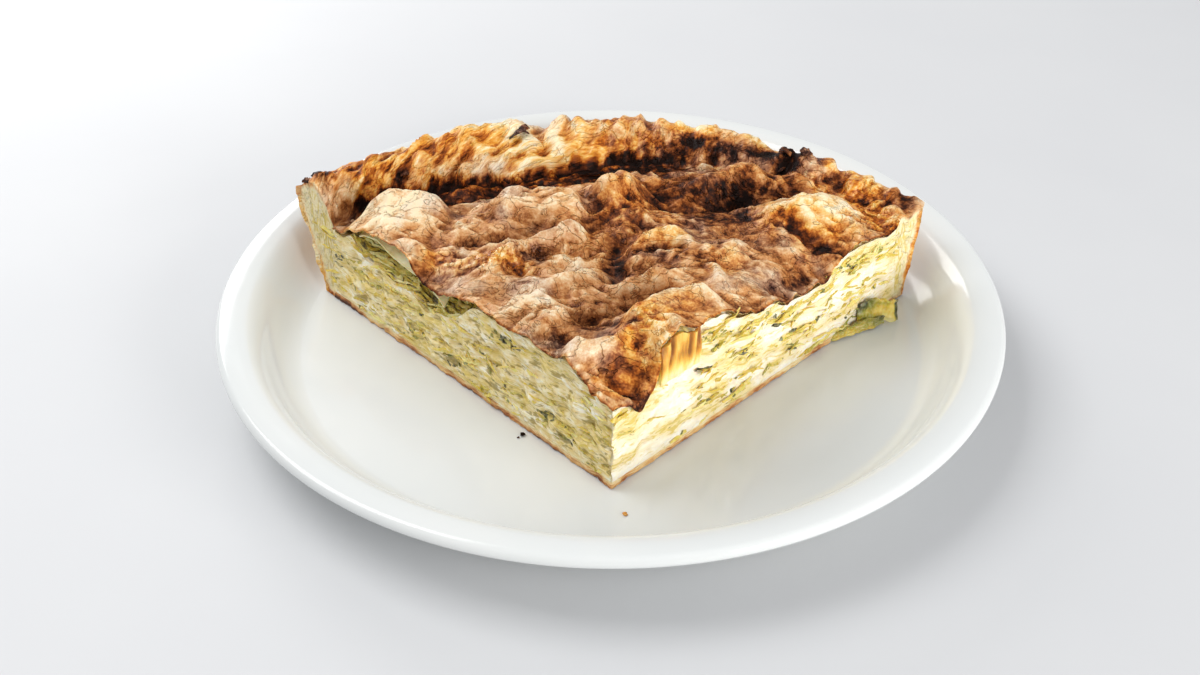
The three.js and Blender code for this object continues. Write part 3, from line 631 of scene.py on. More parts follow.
# Stains of the oven on the rim and on the crust, and painted shade in the groove: middle x and y, run,
# heading, half width, and how much toast, amber and gloss each adds
STAINS = {
    "rim left gold": ((-70, 46), 62, 25, 9, 0.2, 1.4, 0),
    "rim back left gold": ((-28, 56), 40, 8, 7, -0.2, 0.6, 0),
    "rim foot amber": ((-14, 50), 44, 8, 4.5, 0.06, 1.0, 0.1),
    "rim left outer pale": ((-55, 62), 50, 18, 4, -0.18, 0.2, 0),
    "rim far left brown": ((-92, 32), 24, 0, 5, 0.14, 0.4, 0),
    "lip tan": ((-46, 43), 28, 12, 5, -0.1, -0.2, 0),
    "lip amber": ((-29, 41), 24, 10, 3, 0.04, 0.6, 0),
    "rim back streaks": ((20, 62), 50, -3, 7, 0.1, 0.4, 0.2),
    # The three groove entries are partly painted shade in the groove behind the crust, partly its own
    # dark brown
    "groove brown and shade left": ((-70, 31), 36, 20, 4, 0.15, 0.3, 0),
    "groove brown and shade centre": ((-22, 39), 56, 11, 5, 0.22, 0.2, 0),
    "groove brown and shade behind peak": ((14, 47), 26, 5, 4, 0.42, 0.2, 0.2),
    "back crumple": ((10, 56), 50, 3, 3.5, 0.22, 0.3, 0.1),
    "back right brown": ((42, 34), 44, 10, 17, 0.2, 0.25, 0.1),
    "centre brown": ((8, 14), 44, 80, 15, 0.14, 0.4, 0),
    "right middle brown": ((38, 2), 40, 0, 10, 0.12, 0.1, 0),
    "back rim brown": ((5, 66), 40, 0, 5, 0.1, 0.4, 0.2),
    "back rim gold": ((30, 66), 14, -25, 5, -0.1, 0.9, 0),
    "right rim dark line": ((42, 55), 34, -12, 2.5, 0.45, 0, 0.3),
    "right rim gold": ((56, 58), 12, -25, 4, -0.05, 0.7, 0.2),
    "burnt lump": ((67, 47), 10, -25, 6, 0.75, 0, 0),
    "far right rim": ((88, 40), 24, -50, 6, 0, 0.6, 0.3),
    "corner burnt": ((104, 27), 8, -45, 3, 0.4, 0, 0),
    "burnt blister": ((-101.5, 27), 9, 131, 2.8, 0.5, 0.2, 0.8),
    "left corner burnt": ((-107, 28), 7, 40, 2.4, 0.4, 0.2, 0),
    "dark rim spot": ((-74, 36), 4, 25, 1.6, 0.6, 0, 0.4),
    "red rim spot": ((-80, 35), 4, 25, 1.6, 0.35, 0.8, 0.4),
    "gutter glaze": ((92, 22), 34, -62, 7, 0.18, 1.0, 0.7),
    "ridge line": ((42, 30), 30, 5, 3, 0.3, 0, 0),
    "dark hollow": ((35, 15), 16, 80, 5, 0.3, 0, 0.2),
    "dark hollow beside": ((47, 18), 10, 80, 4, 0.35, 0, 0.2),
    "dome tan": ((70, 12), 24, 10, 12, -0.16, 0.7, 0),
    "dome crease": ((66, 0), 18, -50, 4, 0.19, 0.2, 0),
    "dome front gold": ((71, -3), 18, 10, 8, 0.02, 0.45, 0),
    "dome purple": ((58, 2), 8, 0, 5, 0.15, 0, 0),
    "right edge brown": ((75, -8), 10, -45, 4, 0.3, 0, 0),
    "right front brown": ((60, -20), 12, 40, 4, 0.3, 0, 0),
    "right golden": ((38, -20), 14, 60, 6, -0.1, 0.5, 0),
    "arch gold": ((20, -6), 20, 0, 4, -0.1, 0.5, 0),
    "purple under arch": ((9, -16), 12, 20, 5, 0.3, 0, 0),
    "arch dark": ((28, -19), 14, -20, 4, 0.35, 0, 0.2),
    "slant dark": ((12, -27), 20, 20, 4, 0.25, 0, 0),
    "spine brown": ((2, -12), 24, 90, 3, 0.15, 0, 0),
    "centre pale": ((-12, -18), 24, 90, 8, -0.15, 0, 0),
    "scorched patch": ((-26, -13), 8, 10, 3, 0.2, -1.0, 1.0),
    "blister orange": ((-34, -19), 12, -10, 5, 0.05, 0.8, 1.0),
    "left front orange": ((-53, -18), 18, -20, 5, 0.05, 0.7, 0.7),
    "ridge foot brown": ((-42, -4), 20, 20, 4, 0.2, 0, 0),
    "ridge peak front": ((4, 14), 12, 0, 6, 0.1, 0.3, 0),
    "ridge face tan": ((-28, 12), 30, 10, 7, -0.05, 0, 0),
    "ridge streak dark": ((-38, 12), 14, 60, 3, 0.2, 0, 0),
    "hump tan": ((-74, 5), 20, 10, 9, -0.33, 0.1, 0),
    "front pale": ((-25, -45), 24, -30, 9, -0.15, 0, 0),
    "front brown": ((-7, -48), 18, 80, 6, 0.2, 0, 0),
    "left edge dark": ((-19, -59), 12, -46, 3, 0.25, 0, 0),
    "mound gold": ((18, -54), 20, 40, 8, 0, 0.6, 0),
    "mound left red brown": ((4, -62), 14, 70, 5, 0.15, 0.5, 0.1),
    "flap dark": ((1, -77), 10, 100, 3, 0.1, 0.6, 0),
    "flap gold": ((9, -72), 16, 60, 6, 0.05, 0.8, 0),
}
BASE_TOAST = 0.375
# How much darker the groove gets under the rim's lip: painted shadow, over the groove's own brown
UNDER_LIP_SHADOW_AND_TOAST = 0.33
OUTER_WALL_TOAST = 0.31
OUTER_WALL_AMBER = 0.85


def oven_stains_and_shade(x, y):
    """Toast, amber and gloss of the baked top at places in plan, with painted shadow under the rim's
    lip and painted shade in the groove.
    """
    flat = spots_of(x, y, 0)
    broad = lumps(flat, 7, 3.3)
    edge = 0.45 * broad + 0.4 * lumps(flat, 2.8, 6.3)
    out, heading = from_tip(x, y)
    # Painted shadow under the rim's overhanging lip, on top of the groove's own amber brown
    lip_shadow_and_brown = 1 - smooth((out - lip_line(heading) - 0.6 - broad) / 1.4)
    lip_shadow_and_brown *= smooth((out - rim_foot(heading) + 0.6 * groove_width(heading)) / 4)
    lip_shadow_and_brown *= lip_share(heading) * smooth((heading + 41) / 5)
    toast = BASE_TOAST + UNDER_LIP_SHADOW_AND_TOAST * lip_shadow_and_brown
    amber = 0.8 * lip_shadow_and_brown
    gloss = np.zeros(len(x))
    for at, run, heading, half, more_toast, more_amber, more_gloss in STAINS.values():
        along, across = along_and_across(at, heading, x, y)
        past = np.abs(along) - np.clip(np.abs(along), 0, run / 2 - half / 2)
        strength = np.exp(-(np.hypot(past, across) / half * (1 + edge)) ** 2)
        toast += more_toast * strength
        amber += more_amber * strength
        gloss += more_gloss * strength
    return toast, np.clip(amber, 0, 1), np.clip(gloss, 0, 1)


def pleat_line(heading, out):
    """Where a place lies across the rim's pleats, which slant on the left, in millimetres."""
    slant = mix(1.7, 0.15, smooth((heading + 16) / 20))
    return np.radians(heading) * CREST_RADIUS - slant * (out - CREST_RADIUS)


def rim_relief(spots, heading, out):
    """Puffs, blisters and pleats of the rim's skin, in millimetres."""
    across = pleat_line(heading, out)
    drawn_out = spots_of(across, 0.35 * out, 0.35 * spots[:, 2])
    puffs = 1.5 * lumps(spots, 12) + 2.6 * (0.25 - np.abs(lumps(drawn_out, 8, 7.7)))
    puffs += 1.3 * (0.25 - np.abs(lumps(drawn_out, 3.6, 2.7)))
    puffs *= mix(1, 0.6, smooth(heading / 15))
    blisters = 0.35 * lumps(spots, 3.2, 1.3) + 0.15 * lumps(spots, 1.4, 3.3)
    turns = across / PLEAT_SPACING + 0.5 * lumps(spots, 20, 4.1)
    overlap = turns % 1 - smooth((turns % 1 - 0.8) / 0.2)
    return puffs + blisters + 2.0 * (overlap - 0.35)


def oven_skin(finish, broad, small, speck, run, contrast):
    """Colour and shine of baked pastry by its marks, uneven at three sizes; run stretches one. Its
    colour also holds painted shade in valleys and creases and painted highlights on ridges.
    """
    finish.follow("grain")
    blotches = finish.maths("ADD", 1.0, finish.uneven(1.5, 2.6, detail=4, shift=13))
    veins = finish.uneven(1, 7, detail=3, warp=1.2, stretch=run, shift=17)
    crease = finish.ramp(finish.maths("ABSOLUTE", veins), (0.0, 1.0), (0.02, 0.0))
    toast = finish.total(
        finish.times(finish.mark("toast"), blotches),
        finish.uneven(0.5, broad, detail=3, warp=0.6),
        finish.uneven(contrast, small, detail=3, warp=0.4, stretch=run, shift=7),
        finish.uneven(0.4, speck, detail=1),
        # Painted shade: darker along the bumped crease lines
        finish.times(crease, 0.09),
        finish.times(finish.mark("gloss"), finish.uneven(1.1, 1.5, detail=3)),
        # Painted shade in the valleys and painted highlight on the ridges, with some real browning of
        # the valleys
        finish.times(finish.mark("proud"), -0.085))
    browned = finish.ramp(toast, (0.0, "f0dab2"), (0.18, "dfb482"), (0.36, "c88c52"),
                          (0.54, "9e602c"), (0.7, "6c3a1a"), (0.85, "3d1d0e"), (1.0, "1a0d08"))
    ashen = finish.ramp(toast, (0.0, "eadcc6"), (0.25, "c8aa8c"), (0.5, "8f6c55"), (0.75, "4c322a"),
                        (1.0, "191110"))
    golden = finish.ramp(toast, (0.0, "faeac0"), (0.2, "f0c26a"), (0.36, "e09832"), (0.5, "bf6a20"),
                         (0.64, "8a4416"), (0.8, "4c220e"), (1.0, "1c0e08"))
    dull = finish.ramp(finish.noise(broad, detail=2, shift=21), (0.48, 0.0), (0.64, 0.75))
    spread = finish.ramp(finish.noise(small, detail=2, shift=2), (0.3, 0.6), (0.55, 1.0))
    amber = finish.times(finish.mark("amber"), spread)
    shine = finish.ramp(finish.total(toast, finish.times(amber, 0.2)), (0.35, 0.45), (0.75, 0.08))
    return finish.mixed(amber, finish.mixed(dull, browned, ashen), golden), shine, crease


(a, up, depth), wall_faces = block_skin(WALL_COLUMNS, WALL_ROWS, WALL_DEPTHS)
heading = np.degrees(mix(LEFT_CUT, RIGHT_CUT, a))
out, z = wall_section(heading, up, depth)
x, y = round_tip(out, np.radians(heading))
wall_corners = spots_of(x, y, z)
on_top = up == 1
on_skin = depth == 1
on_cut = (a == 0) | (a == 1)
off_foot = smooth(up * 4)
inside_skin = mix(smooth(depth * 8), 1, (up < 1) | on_skin)
skin_relief = rim_relief(wall_corners, heading, out) * np.where(on_top, inside_skin, 0.55 * off_foot)
layered = 0.4 * lumps(spots_of(x, y, 3 * z), 6, 5.1)
crumb = 0.5 * lumps(wall_corners, 3.5, 2.2) + 0.3 * lumps(wall_corners, 1.5, 4.2) - 0.25
heights = np.where(on_top, skin_relief, np.where(on_skin, skin_relief + layered * off_foot, 0))
heights = np.where(on_cut & ~on_top & ~on_skin & (up > 0), crumb, heights)
wall_corners = grow(wall_corners, wall_faces, heights)
wall_toast, wall_amber, wall_gloss = oven_stains_and_shade(x, y)
risen = (z - BASE_BOTTOM) / (SHOULDER_HEIGHT - BASE_BOTTOM)
skin_out = WALL_FOOT_OUTER + (shoulder_radius(heading) - WALL_FOOT_OUTER) * smooth(risen)
under_top = top_height(x, y) - z
skin_depth = np.min([skin_out - out, under_top, z - BASE_BOTTOM + 0.6], 0) + 0.8 * (a == 1)
skin_depth = np.where(on_skin | on_top, 0, skin_depth)
# How proud each corner stands; the finish paints shade into the valleys and a highlight onto the ridges
# from it
wall_proud = proud_of_surroundings(wall_corners, wall_faces, near_rounds=6, far_rounds=60)
wall_grain = spots_of(out, pleat_line(heading, out), wall_corners[:, 2])
near_top = smooth((up - 0.9) / 0.1)
wall_toast = mix(OUTER_WALL_TOAST, wall_toast, near_top)
wall_amber = mix(OUTER_WALL_AMBER, wall_amber, near_top)

rind = Finish("baked rim pastry", {"Subsurface Weight": 0.06, "Subsurface Scale": 0.002})
skin, shine, crease = oven_skin(rind, 11, 3.4, 0.8, (1.5, 1, 1), 0.6)
soft_dough = rind.ramp(rind.noise(3, detail=4, stretch=(1, 1, 0.5)), (0.3, "e9d8a6"), (0.5, "f1e4bd"),
                       (0.7, "e6cf97"))
curd_streaks = rind.ramp(rind.noise(1.8, detail=4, warp=1.2, stretch=(1, 1, 2.5)),
                         (0.46, 0.0), (0.58, 0.8))
deep_in = rind.ramp(rind.maths("DIVIDE", rind.mark("skin_depth"), 10), (0.2, 0.0), (0.6, 1.0))
soft_dough = rind.mixed(rind.times(curd_streaks, deep_in), soft_dough, "d2b84a")
inward = rind.total(rind.mark("skin_depth"), rind.uneven(2.5, 3, detail=3))
under_skin = rind.ramp(rind.maths("DIVIDE", inward, 4), (0.32, 0.0), (0.75, 1.0))
rind.join(
    base_color=rind.mixed(under_skin, skin, soft_dough),
    roughness=rind.ramp(rind.total(rind.mark("gloss"), rind.uneven(0.5, 6)), (0.0, 0.5), (1.0, 0.22)),
    specular=shine,
    normal=rind.bump(rind.noise(0.8, detail=2), 0.15, rind.bump(crease, -0.3)))
new_piece("wall_and_rim", wall_corners, wall_faces, rind, "baked_pastry_case", sharp=75,
          replaced=["pastry_case"], toast=wall_toast, amber=wall_amber, gloss=wall_gloss,
          proud=wall_proud, skin_depth=skin_depth, grain=wall_grain)

# Filling
# Fresh cheese, eggs and cooked leek, baked until set. Where the wedge was cut, the curd is
# torn into soft lumps and streaks, and the leek lies in thin shreds along the layers.
FILLING_BOTTOM = BASE_TOP + 0.1
FILLING_CELLS = 220
FILLING_LEVELS = 54
HOLLOW_DEPTH = 13
HOLLOW_START = 62
HOLLOW_END = 118
# Where the pleated leaf fills the mouth in the right cut, and how far the curd stands back from it
LEAF_SPAN = (21, 38.5)
LEAF_RECESS = 2.2
INTO_WALL = 0.5
UNDER_CRUST_GAP = 0.7
# Gaps under the crust's edge on the left cut: distance from the tip, half width, depth, reach in
GAPS_UNDER_CRUST = [(72, 8, 4.5, 9), (17, 5, 3.5, 6)]
# Pits torn in the cuts: distance from the tip, height over the well, half length, half height, depth
LEFT_PITS = [(21, 7, 2.5, 1.2, 0.72), (77, 8, 3.5, 2.2, 0.81), (50, 31, 5, 1.2, 0.54),
             (100, 11, 2, 1.6, 0.675), (133, 20, 4, 1, 0.54), (141, 18, 1.5, 2.5, 0.54),
             (58, 15, 1.6, 1.2, 0.63), (9, 3, 1.5, 1.2, 0.54), (30, 12, 5, 1, 0.45),
             (90, 28, 2, 1.5, 0.675)]
RIGHT_PITS = [(57, 22, 1.5, 1.6, 0.63), (45, 33, 6, 3, 0.99), (76, 26, 4, 2.6, 0.81),
              (95, 30, 5, 2, 0.81), (115, 31, 3, 2, 0.99), (136, 30, 4, 2, 0.9),
              (37, 42, 1, 4, 0.9), (66, 11, 2, 1, 0.54), (84, 11, 2, 0.8, 0.45),
              (122, 6, 4, 2, 0.63)]


def hollow(q, p):
    """How far the filling's top has sunk below the crust near the left cut."""
    along = smooth((q - HOLLOW_START) / 34) * (1 - smooth((q - HOLLOW_END) / 16))
    depth = HOLLOW_DEPTH * along * bell(p, 15)
    for at, half, gap, reach in GAPS_UNDER_CRUST:
        depth = depth + gap * bell(q - at, half) * bell(p, reach)
    return depth


def leaf_recess(p, z):
    """How far the curd stands back in the right cut to leave room for the pleated leaf."""
    along = smooth((p - LEAF_SPAN[0] + 8) / 6) * (1 - smooth((p - LEAF_SPAN[1] - 2) / 6))
    return LEAF_RECESS * along * smooth((z - 29) / 5)


def cut_relief(u, z, pits, shift):
    """Torn curd on a cut, in millimetres outward: layered streaks, soft lumps and pits."""
    spots = spots_of(u, 0, z)
    streaks = lumps(spots * (0.32, 1, 1), 2.1, shift) + 0.6 * lumps(spots * (0.45, 1, 1), 1.1, shift)
    curds = lumps(spots, 4.5, shift + 9)
    relief = 0.5 * streaks + 0.25 * curds + 0.35 * lumps(spots * (0.6, 1, 1), 0.9, shift)
    for at, height, length, thick, depth in pits:
        apart = np.hypot((u - at) / length, (z - WELL_FLOOR - height) / thick)
        relief -= depth * np.exp(-(apart * (1 + 0.4 * curds)) ** 2)
    return relief


def crust_over(q, p):
    """Height of the baked top over a place in the wedge."""
    at = place(q, p, 0)
    return top_height(at[:, 0], at[:, 1])


def filling_corners(a, b, level):
    """Places in the filling's block, torn on its two cuts."""
    low_q, low_p = sector(a, b, lambda heading: WALL_FOOT_INNER + INTO_WALL)
    high_q, high_p = sector(a, b, lambda heading: rim_foot(heading) + INTO_WALL)
    q = mix(low_q, high_q, level)
    p = mix(low_p, high_p, level)
    top = crust_over(high_q, high_p) - CRUST_THICKNESS - UNDER_CRUST_GAP - hollow(high_q, high_p)
    z = mix(FILLING_BOTTOM, top, level)
    outward = np.hypot(a, b)
    fade = smooth(level * 12) * smooth((1 - level) * 10) * (1 - 0.7 * smooth(outward * 18 - 16))
    belly = level * (1 - level) * 4 * (1 - smooth(outward * 20 - 19))
    torn_left = cut_relief(q, z, LEFT_PITS, 0) * fade
    torn_right = cut_relief(p, z, RIGHT_PITS, 40) * fade
    left = 0.9 * ripple(q, z, 17, 0.8, 5, 1.3) * belly + torn_left
    right = 0.9 * ripple(p, z, 19, 0.8, 5, 3.1) * belly + torn_right
    corners = pushed_out(place(q, p, z), (b == 0, LEFT_OUTWARD, left),
                         (a == 0, RIGHT_OUTWARD, right - leaf_recess(p, z)))
    torn = np.where(b == 0, torn_left, np.where(a == 0, torn_right, 0))
    return corners, q, p, z, torn


(a, b, level), filling_faces = block_skin(FILLING_CELLS, FILLING_CELLS, FILLING_LEVELS, fans=(0,))
curd_corners, q, p, z, torn = filling_corners(a, b, level)
under_crust = (level == 1) & (a > 0) & (b > 0)
strands = np.abs(lumps(spots_of(q, p, z) * (0.4, 1, 1), 2.2)) - 0.25
curd_corners[:, 2] += np.where(under_crust, 1.5 * strands - 0.9, 0)
on_right = a == 0
curd_grain = spots_of(np.where(on_right, p, q), np.where(on_right, 200 + q, p), z)

curd = Finish("cheese and leek curd", {"Roughness": 0.42, "Subsurface Weight": 0.25,
                                       "Subsurface Scale": 0.0025,
                                       "Subsurface Radius": (1.0, 0.75, 0.4)})
curd.follow("grain")
right_side = curd.mark("right_side")
cloudy = curd.noise(9, detail=3, warp=0.6, stretch=(2.2, 1, 0.8))
lumpy = curd.noise(2.6, detail=3, warp=0.8, stretch=(1.8, 1, 1))
streaky = curd.noise(1.5, detail=4, warp=1.4, stretch=(4.2, 1, 0.9), shift=3)
flecks = curd.noise(1.3, detail=3, warp=1.0, stretch=(2.4, 1, 0.9), shift=11)
pale = curd.ramp(lumpy, (0.34, "e6ca84"), (0.5, "f6e4b4"), (0.6, "fdf6df"))
# Painted light: the right cut is painted whiter than the shaded left cut
right_cut_painted_light = curd.mixed(curd.times(right_side, 0.7), pale, "fcf5e6")
yellow_curd = curd.mixed(curd.ramp(cloudy, (0.42, 0.0), (0.62, 0.7)), right_cut_painted_light, "ecd27c")
leek_juice = curd.ramp(curd.total(streaky, curd.swing(cloudy, 0.5)), (0.52, 0.0), (0.66, 0.8))
green_curd = curd.mixed(leek_juice, yellow_curd, "d4ba50")
# Painted shade: darker olive in the torn pits and low streaks, on the shaded left cut only
pit_shade = curd.ramp(curd.total(curd.times(curd.mark("torn"), 0.8), curd.swing(streaky, 1.6)),
                    (0.0, 0.8), (0.23, 0.0))
left_pit_shade = curd.times(pit_shade, curd.maths("SUBTRACT", 1.0, right_side))
green_curd = curd.mixed(left_pit_shade, green_curd, "9c8428")
# Painted shade: the hollow under the crust is painted dark olive, streaked with yellow leek
hollow_shade = curd.ramp(streaky, (0.38, "3a3010"), (0.5, "8f7a26"), (0.62, "e0c454"))
green_curd = curd.mixed(curd.mark("hollow"), green_curd, hollow_shade)
fleck_share = curd.ramp(curd.total(flecks, curd.swing(cloudy, 0.3)), (0.68, 0.0), (0.74, 1.0))
flecked = curd.mixed(fleck_share, green_curd, "757430")
curd.join(
    base_color=curd.mixed(curd.mark("doughy"), flecked, "eadaab"),
    roughness=curd.ramp(lumpy, (0.3, 0.3), (0.7, 0.55)),
    normal=curd.bump(curd.noise(0.8, detail=3, stretch=(1.8, 1, 1)), 0.35))
new_piece("cheese_and_leek_filling", curd_corners, filling_faces, curd, "cheese_leek_filling",
          sharp=80, replaced=["filling"], grain=curd_grain, right_side=on_right,
          doughy=0.35 * smooth((np.hypot(q, p) - 140) / 6), torn=torn + 0.4,
          hollow=smooth((level - 0.96) * 30) * smooth(p / 3) * (hollow(q, p) > 0.8))

# Leek shreds
# Leek cut into thin shreds before it was cooked. They lie along the layers of the curd, and
# where the knife went through they stand a little out of both cuts, pale yellow to dark green.
SHRED_RIBBON = {"Vertices X": 8, "Vertices Y": 3, "Vertices Z": 2}
SHRED_SUNK = -0.12
MOST_SHREDS = 3e5
WAVE_SCALE = 420.0
WAVE_HEIGHT = 2.6
# The grid over a cut that carries the shreds: its steps, and how far along and up it ends
CARRIER_STEPS = (140, 40)
CARRIER_ENDS = (0.985, 0.93)

leek = Finish("cooked leek", {"Roughness": 0.32, "Subsurface Weight": 0.2, "Subsurface Scale": 0.0015})
vein = leek.noise(0.9, detail=2, stretch=(1, 1, 2))
hue = leek.total(leek.mark("hue"), leek.uneven(0.35, 2.5, detail=2))
leaf_colour = leek.ramp(hue, (0.0, "efe2a0"), (0.28, "e2ca5c"), (0.48, "cdae34"), (0.64, "a59a30"),
                        (0.8, "777625"), (0.92, "4b4e1a"), (1.0, "2e3113"))
leek.join(base_color=leek.mixed(leek.ramp(vein, (0.35, 0.25), (0.6, 0.0)), leaf_colour, "f0e8b0"),
          normal=leek.bump(vein, 0.15))


def shred_tree():
    """Thin ribbons strewn over a surface, along one way, each bent a little by its place."""
    tree = bpy.data.node_groups.new("strewn shreds", "GeometryNodeTree")
    for name, kind in [("Geometry", "Geometry"), ("Gap", "Float"), ("Ribbon", "Vector"),
                       ("Way", "Vector"), ("Seed", "Int"), ("Palest", "Float"),
                       ("Darkest", "Float"), ("Sunk", "Float"), ("Finish", "Material")]:
        tree.interface.new_socket(name, in_out="INPUT", socket_type="NodeSocket" + kind)
    tree.interface.new_socket("Geometry", in_out="OUTPUT", socket_type="NodeSocketGeometry")
    given = tree.nodes.new("NodeGroupInput").outputs

    def step(kind, inputs, output=0, **settings):
        return add_node(tree, kind, inputs, **settings).outputs[output]

    def vectors(operation, first, second):
        sockets = {0: first, "Scale" if operation == "SCALE" else 1: second}
        return step("ShaderNodeVectorMath", sockets, operation=operation)

    density = step("GeometryNodeInputNamedAttribute", {"Name": "leek"})
    strewn = add_node(tree, "GeometryNodeDistributePointsOnFaces", {
        "Mesh": given["Geometry"], "Distance Min": given["Gap"], "Density Max": MOST_SHREDS,
        "Density Factor": density, "Seed": given["Seed"]}, distribute_method="POISSON").outputs
    ribbon = step("GeometryNodeMeshCube", {"Size": given["Ribbon"], **SHRED_RIBBON}, "Mesh")

    # Each ribbon narrows towards its ends
    spot = step("GeometryNodeInputPosition", {})
    end_share = step("ShaderNodeSeparateXYZ", {0: vectors("DIVIDE", spot, given["Ribbon"])})
    squared = step("ShaderNodeMath", {0: end_share, 1: end_share}, operation="MULTIPLY")
    narrowing = step("ShaderNodeMath", {0: squared, 1: -2.4, 2: 1.0}, operation="MULTIPLY_ADD")
    squeeze = step("ShaderNodeCombineXYZ", {0: 1.0, 1: narrowing, 2: narrowing})
    shaped = vectors("MULTIPLY", spot, squeeze)
    tapered = step("GeometryNodeSetPosition", {"Geometry": ribbon, "Position": shaped})

    # Flat on the surface and along the layers, with a little turn and tilt of its own
    standing = step("FunctionNodeAlignRotationToVector", {"Vector": strewn["Normal"]}, axis="Z")
    lying = step("FunctionNodeAlignRotationToVector", {"Rotation": standing, "Vector": given["Way"]},
                 axis="X", pivot_axis="Z")
    tilt = step("FunctionNodeRandomValue", {0: (-0.5, -0.15, -0.3), 1: (0.5, 0.15, 0.3),
                                            8: given["Seed"]}, data_type="FLOAT_VECTOR")
    tilt_turn = step("FunctionNodeEulerToRotation", {0: tilt})
    turned_ribbon = step("FunctionNodeRotateRotation", {0: lying, 1: tilt_turn},
                         rotation_space="LOCAL")
    size = step("FunctionNodeRandomValue", {0: (0.4, 0.5, 0.6), 1: (1.5, 1.4, 1.3), 8: 3},
                data_type="FLOAT_VECTOR")
    sunk = step("GeometryNodeSetPosition", {
        "Geometry": strewn["Points"], "Offset": vectors("SCALE", strewn["Normal"], given["Sunk"])})
    laid = step("GeometryNodeInstanceOnPoints", {
        "Points": sunk, "Instance": tapered, "Rotation": turned_ribbon, "Scale": size})
    own_hue = step("FunctionNodeRandomValue", {2: given["Palest"], 3: given["Darkest"], 8: 5}, 1,
                   data_type="FLOAT")
    hued = step("GeometryNodeStoreNamedAttribute", {
        "Geometry": laid, "Name": "hue", "Value": own_hue}, data_type="FLOAT", domain="INSTANCE")
    real = step("GeometryNodeRealizeInstances", {"Geometry": hued})

    # Limp leek bends with the curd round it
    here = step("GeometryNodeInputPosition", {})
    waves = step("ShaderNodeTexNoise", {"Vector": here, "Scale": WAVE_SCALE, "Detail": 1.0}, "Color")
    push = vectors("SCALE", vectors("SUBTRACT", waves, (0.5, 0.5, 0.5)), WAVE_HEIGHT * MM)
    limp = step("GeometryNodeSetPosition", {"Geometry": real, "Offset": push})
    finished = step("GeometryNodeSetMaterial", {"Geometry": limp, "Material": given["Finish"]})
    add_node(tree, "NodeGroupOutput", {0: finished})
    return tree


def left_leek(u, z, layers):
    """How thickly leek lies in the left cut, from 0 to 1."""
    over = z - WELL_FLOOR
    even = 0.5 + 0.3 * bell(over - 12, 7) + 0.5 * bell(u - 105, 22) * bell(over - 27, 6)
    skin_at = mix(WALL_FOOT_OUTER, SHOULDER_RADIUS, smooth(over / (SHOULDER_HEIGHT - WELL_FLOOR)))
    in_rim = smooth((u - 138) / 3) * smooth((z - 35) / 5)
    inside = smooth((u - 3) / 4) * (1 - smooth((u - skin_at + 7) / 3))
    return even * inside * (1 - 0.85 * in_rim) * layers


def clumps(u, z, pits):
    """Dark leek lies thickest in the pits of a cut."""
    share = 0 * u
    for at, height, length, thick, _ in pits:
        share = share + np.exp(-((u - at) / length) ** 2 - ((z - WELL_FLOOR - height) / thick) ** 2)
    return share


def dark_left_leek(u, z, layers):
    return 0.14 * left_leek(u, z, layers) + 2 * clumps(u, z, LEFT_PITS)


def right_leek(u, z, layers):
    over = z - WELL_FLOOR
    even = 0.15 + 0.6 * smooth((u - 25) / 40) * mix(0.6, 1, smooth(over / 20))
    even += 1.2 * bell(u - 114, 18) * bell(over - 3, 4) + 0.5 * bell(u - 95, 40) * bell(over - 28, 6)
    return even * (1 - smooth((u - 132) / 8)) * layers


def dark_right_leek(u, z, layers):
    return 0.25 * right_leek(u, z, layers) + 1.2 * clumps(u, z, RIGHT_PITS)


def hollow_leek(u, z, layers):
    return np.where((u > 72) & (u < 132), 1.6, 0.6)


def strew(name, at_share, along_cut, leek_in, gap, ribbon, hues, seed):
    """Shreds over one cut: at_share gives the grid's places in the filling's block."""
    steps = [np.linspace(0.01, far, count) for count, far in zip(CARRIER_STEPS, CARRIER_ENDS)]
    run, rise = [grid.ravel() for grid in np.meshgrid(*steps, indexing="ij")]
    corners, q, p, z, _ = filling_corners(*at_share(run, rise))
    faces = grid_faces(np.arange(len(run)).reshape(CARRIER_STEPS))
    if along_cut == LEFT_CUT:
        faces = faces[:, ::-1]
    u = q + p
    layers = lumps(spots_of(u / 5, 0, z - 0.04 * u), 2.6, seed)
    layered = leek_in(u, z, smooth(0.35 + 2.4 * layers))
    cut_mesh = new_mesh("cut", corners * MM, faces)
    density = cut_mesh.attributes.new("leek", "FLOAT", "POINT")
    density.data.foreach_set("value", layered.astype(np.float32))
    carrier = new_object("cut", cut_mesh)
    strewing = carrier.modifiers.new("shreds", "NODES")
    strewing.node_group = shreds_from
    way = (math.sin(along_cut), math.cos(along_cut), 0)
    values = {"Gap": gap * MM, "Ribbon": [length * MM for length in ribbon], "Way": way,
              "Seed": seed, "Palest": hues[0], "Darkest": hues[1], "Sunk": SHRED_SUNK * MM,
              "Finish": leek.material}
    for socket in shreds_from.interface.items_tree:
        if socket.in_out == "INPUT" and socket.name in values:
            strewing[socket.identifier] = values[socket.name]
    evaluated = carrier.evaluated_get(bpy.context.evaluated_depsgraph_get())
    plain = bpy.data.meshes.new_from_object(evaluated)
    bpy.data.objects.remove(carrier)
    settle(new_object(name, plain), leek)


def on_left_cut(run, rise):
    return 1.1 * run, 0 * run, rise


def in_the_hollow(run, rise):
    return mix(0.5, 0.92, run), 0.075 * rise, 1 + 0 * run


def on_right_cut(run, rise):
    return 0 * run, run, rise


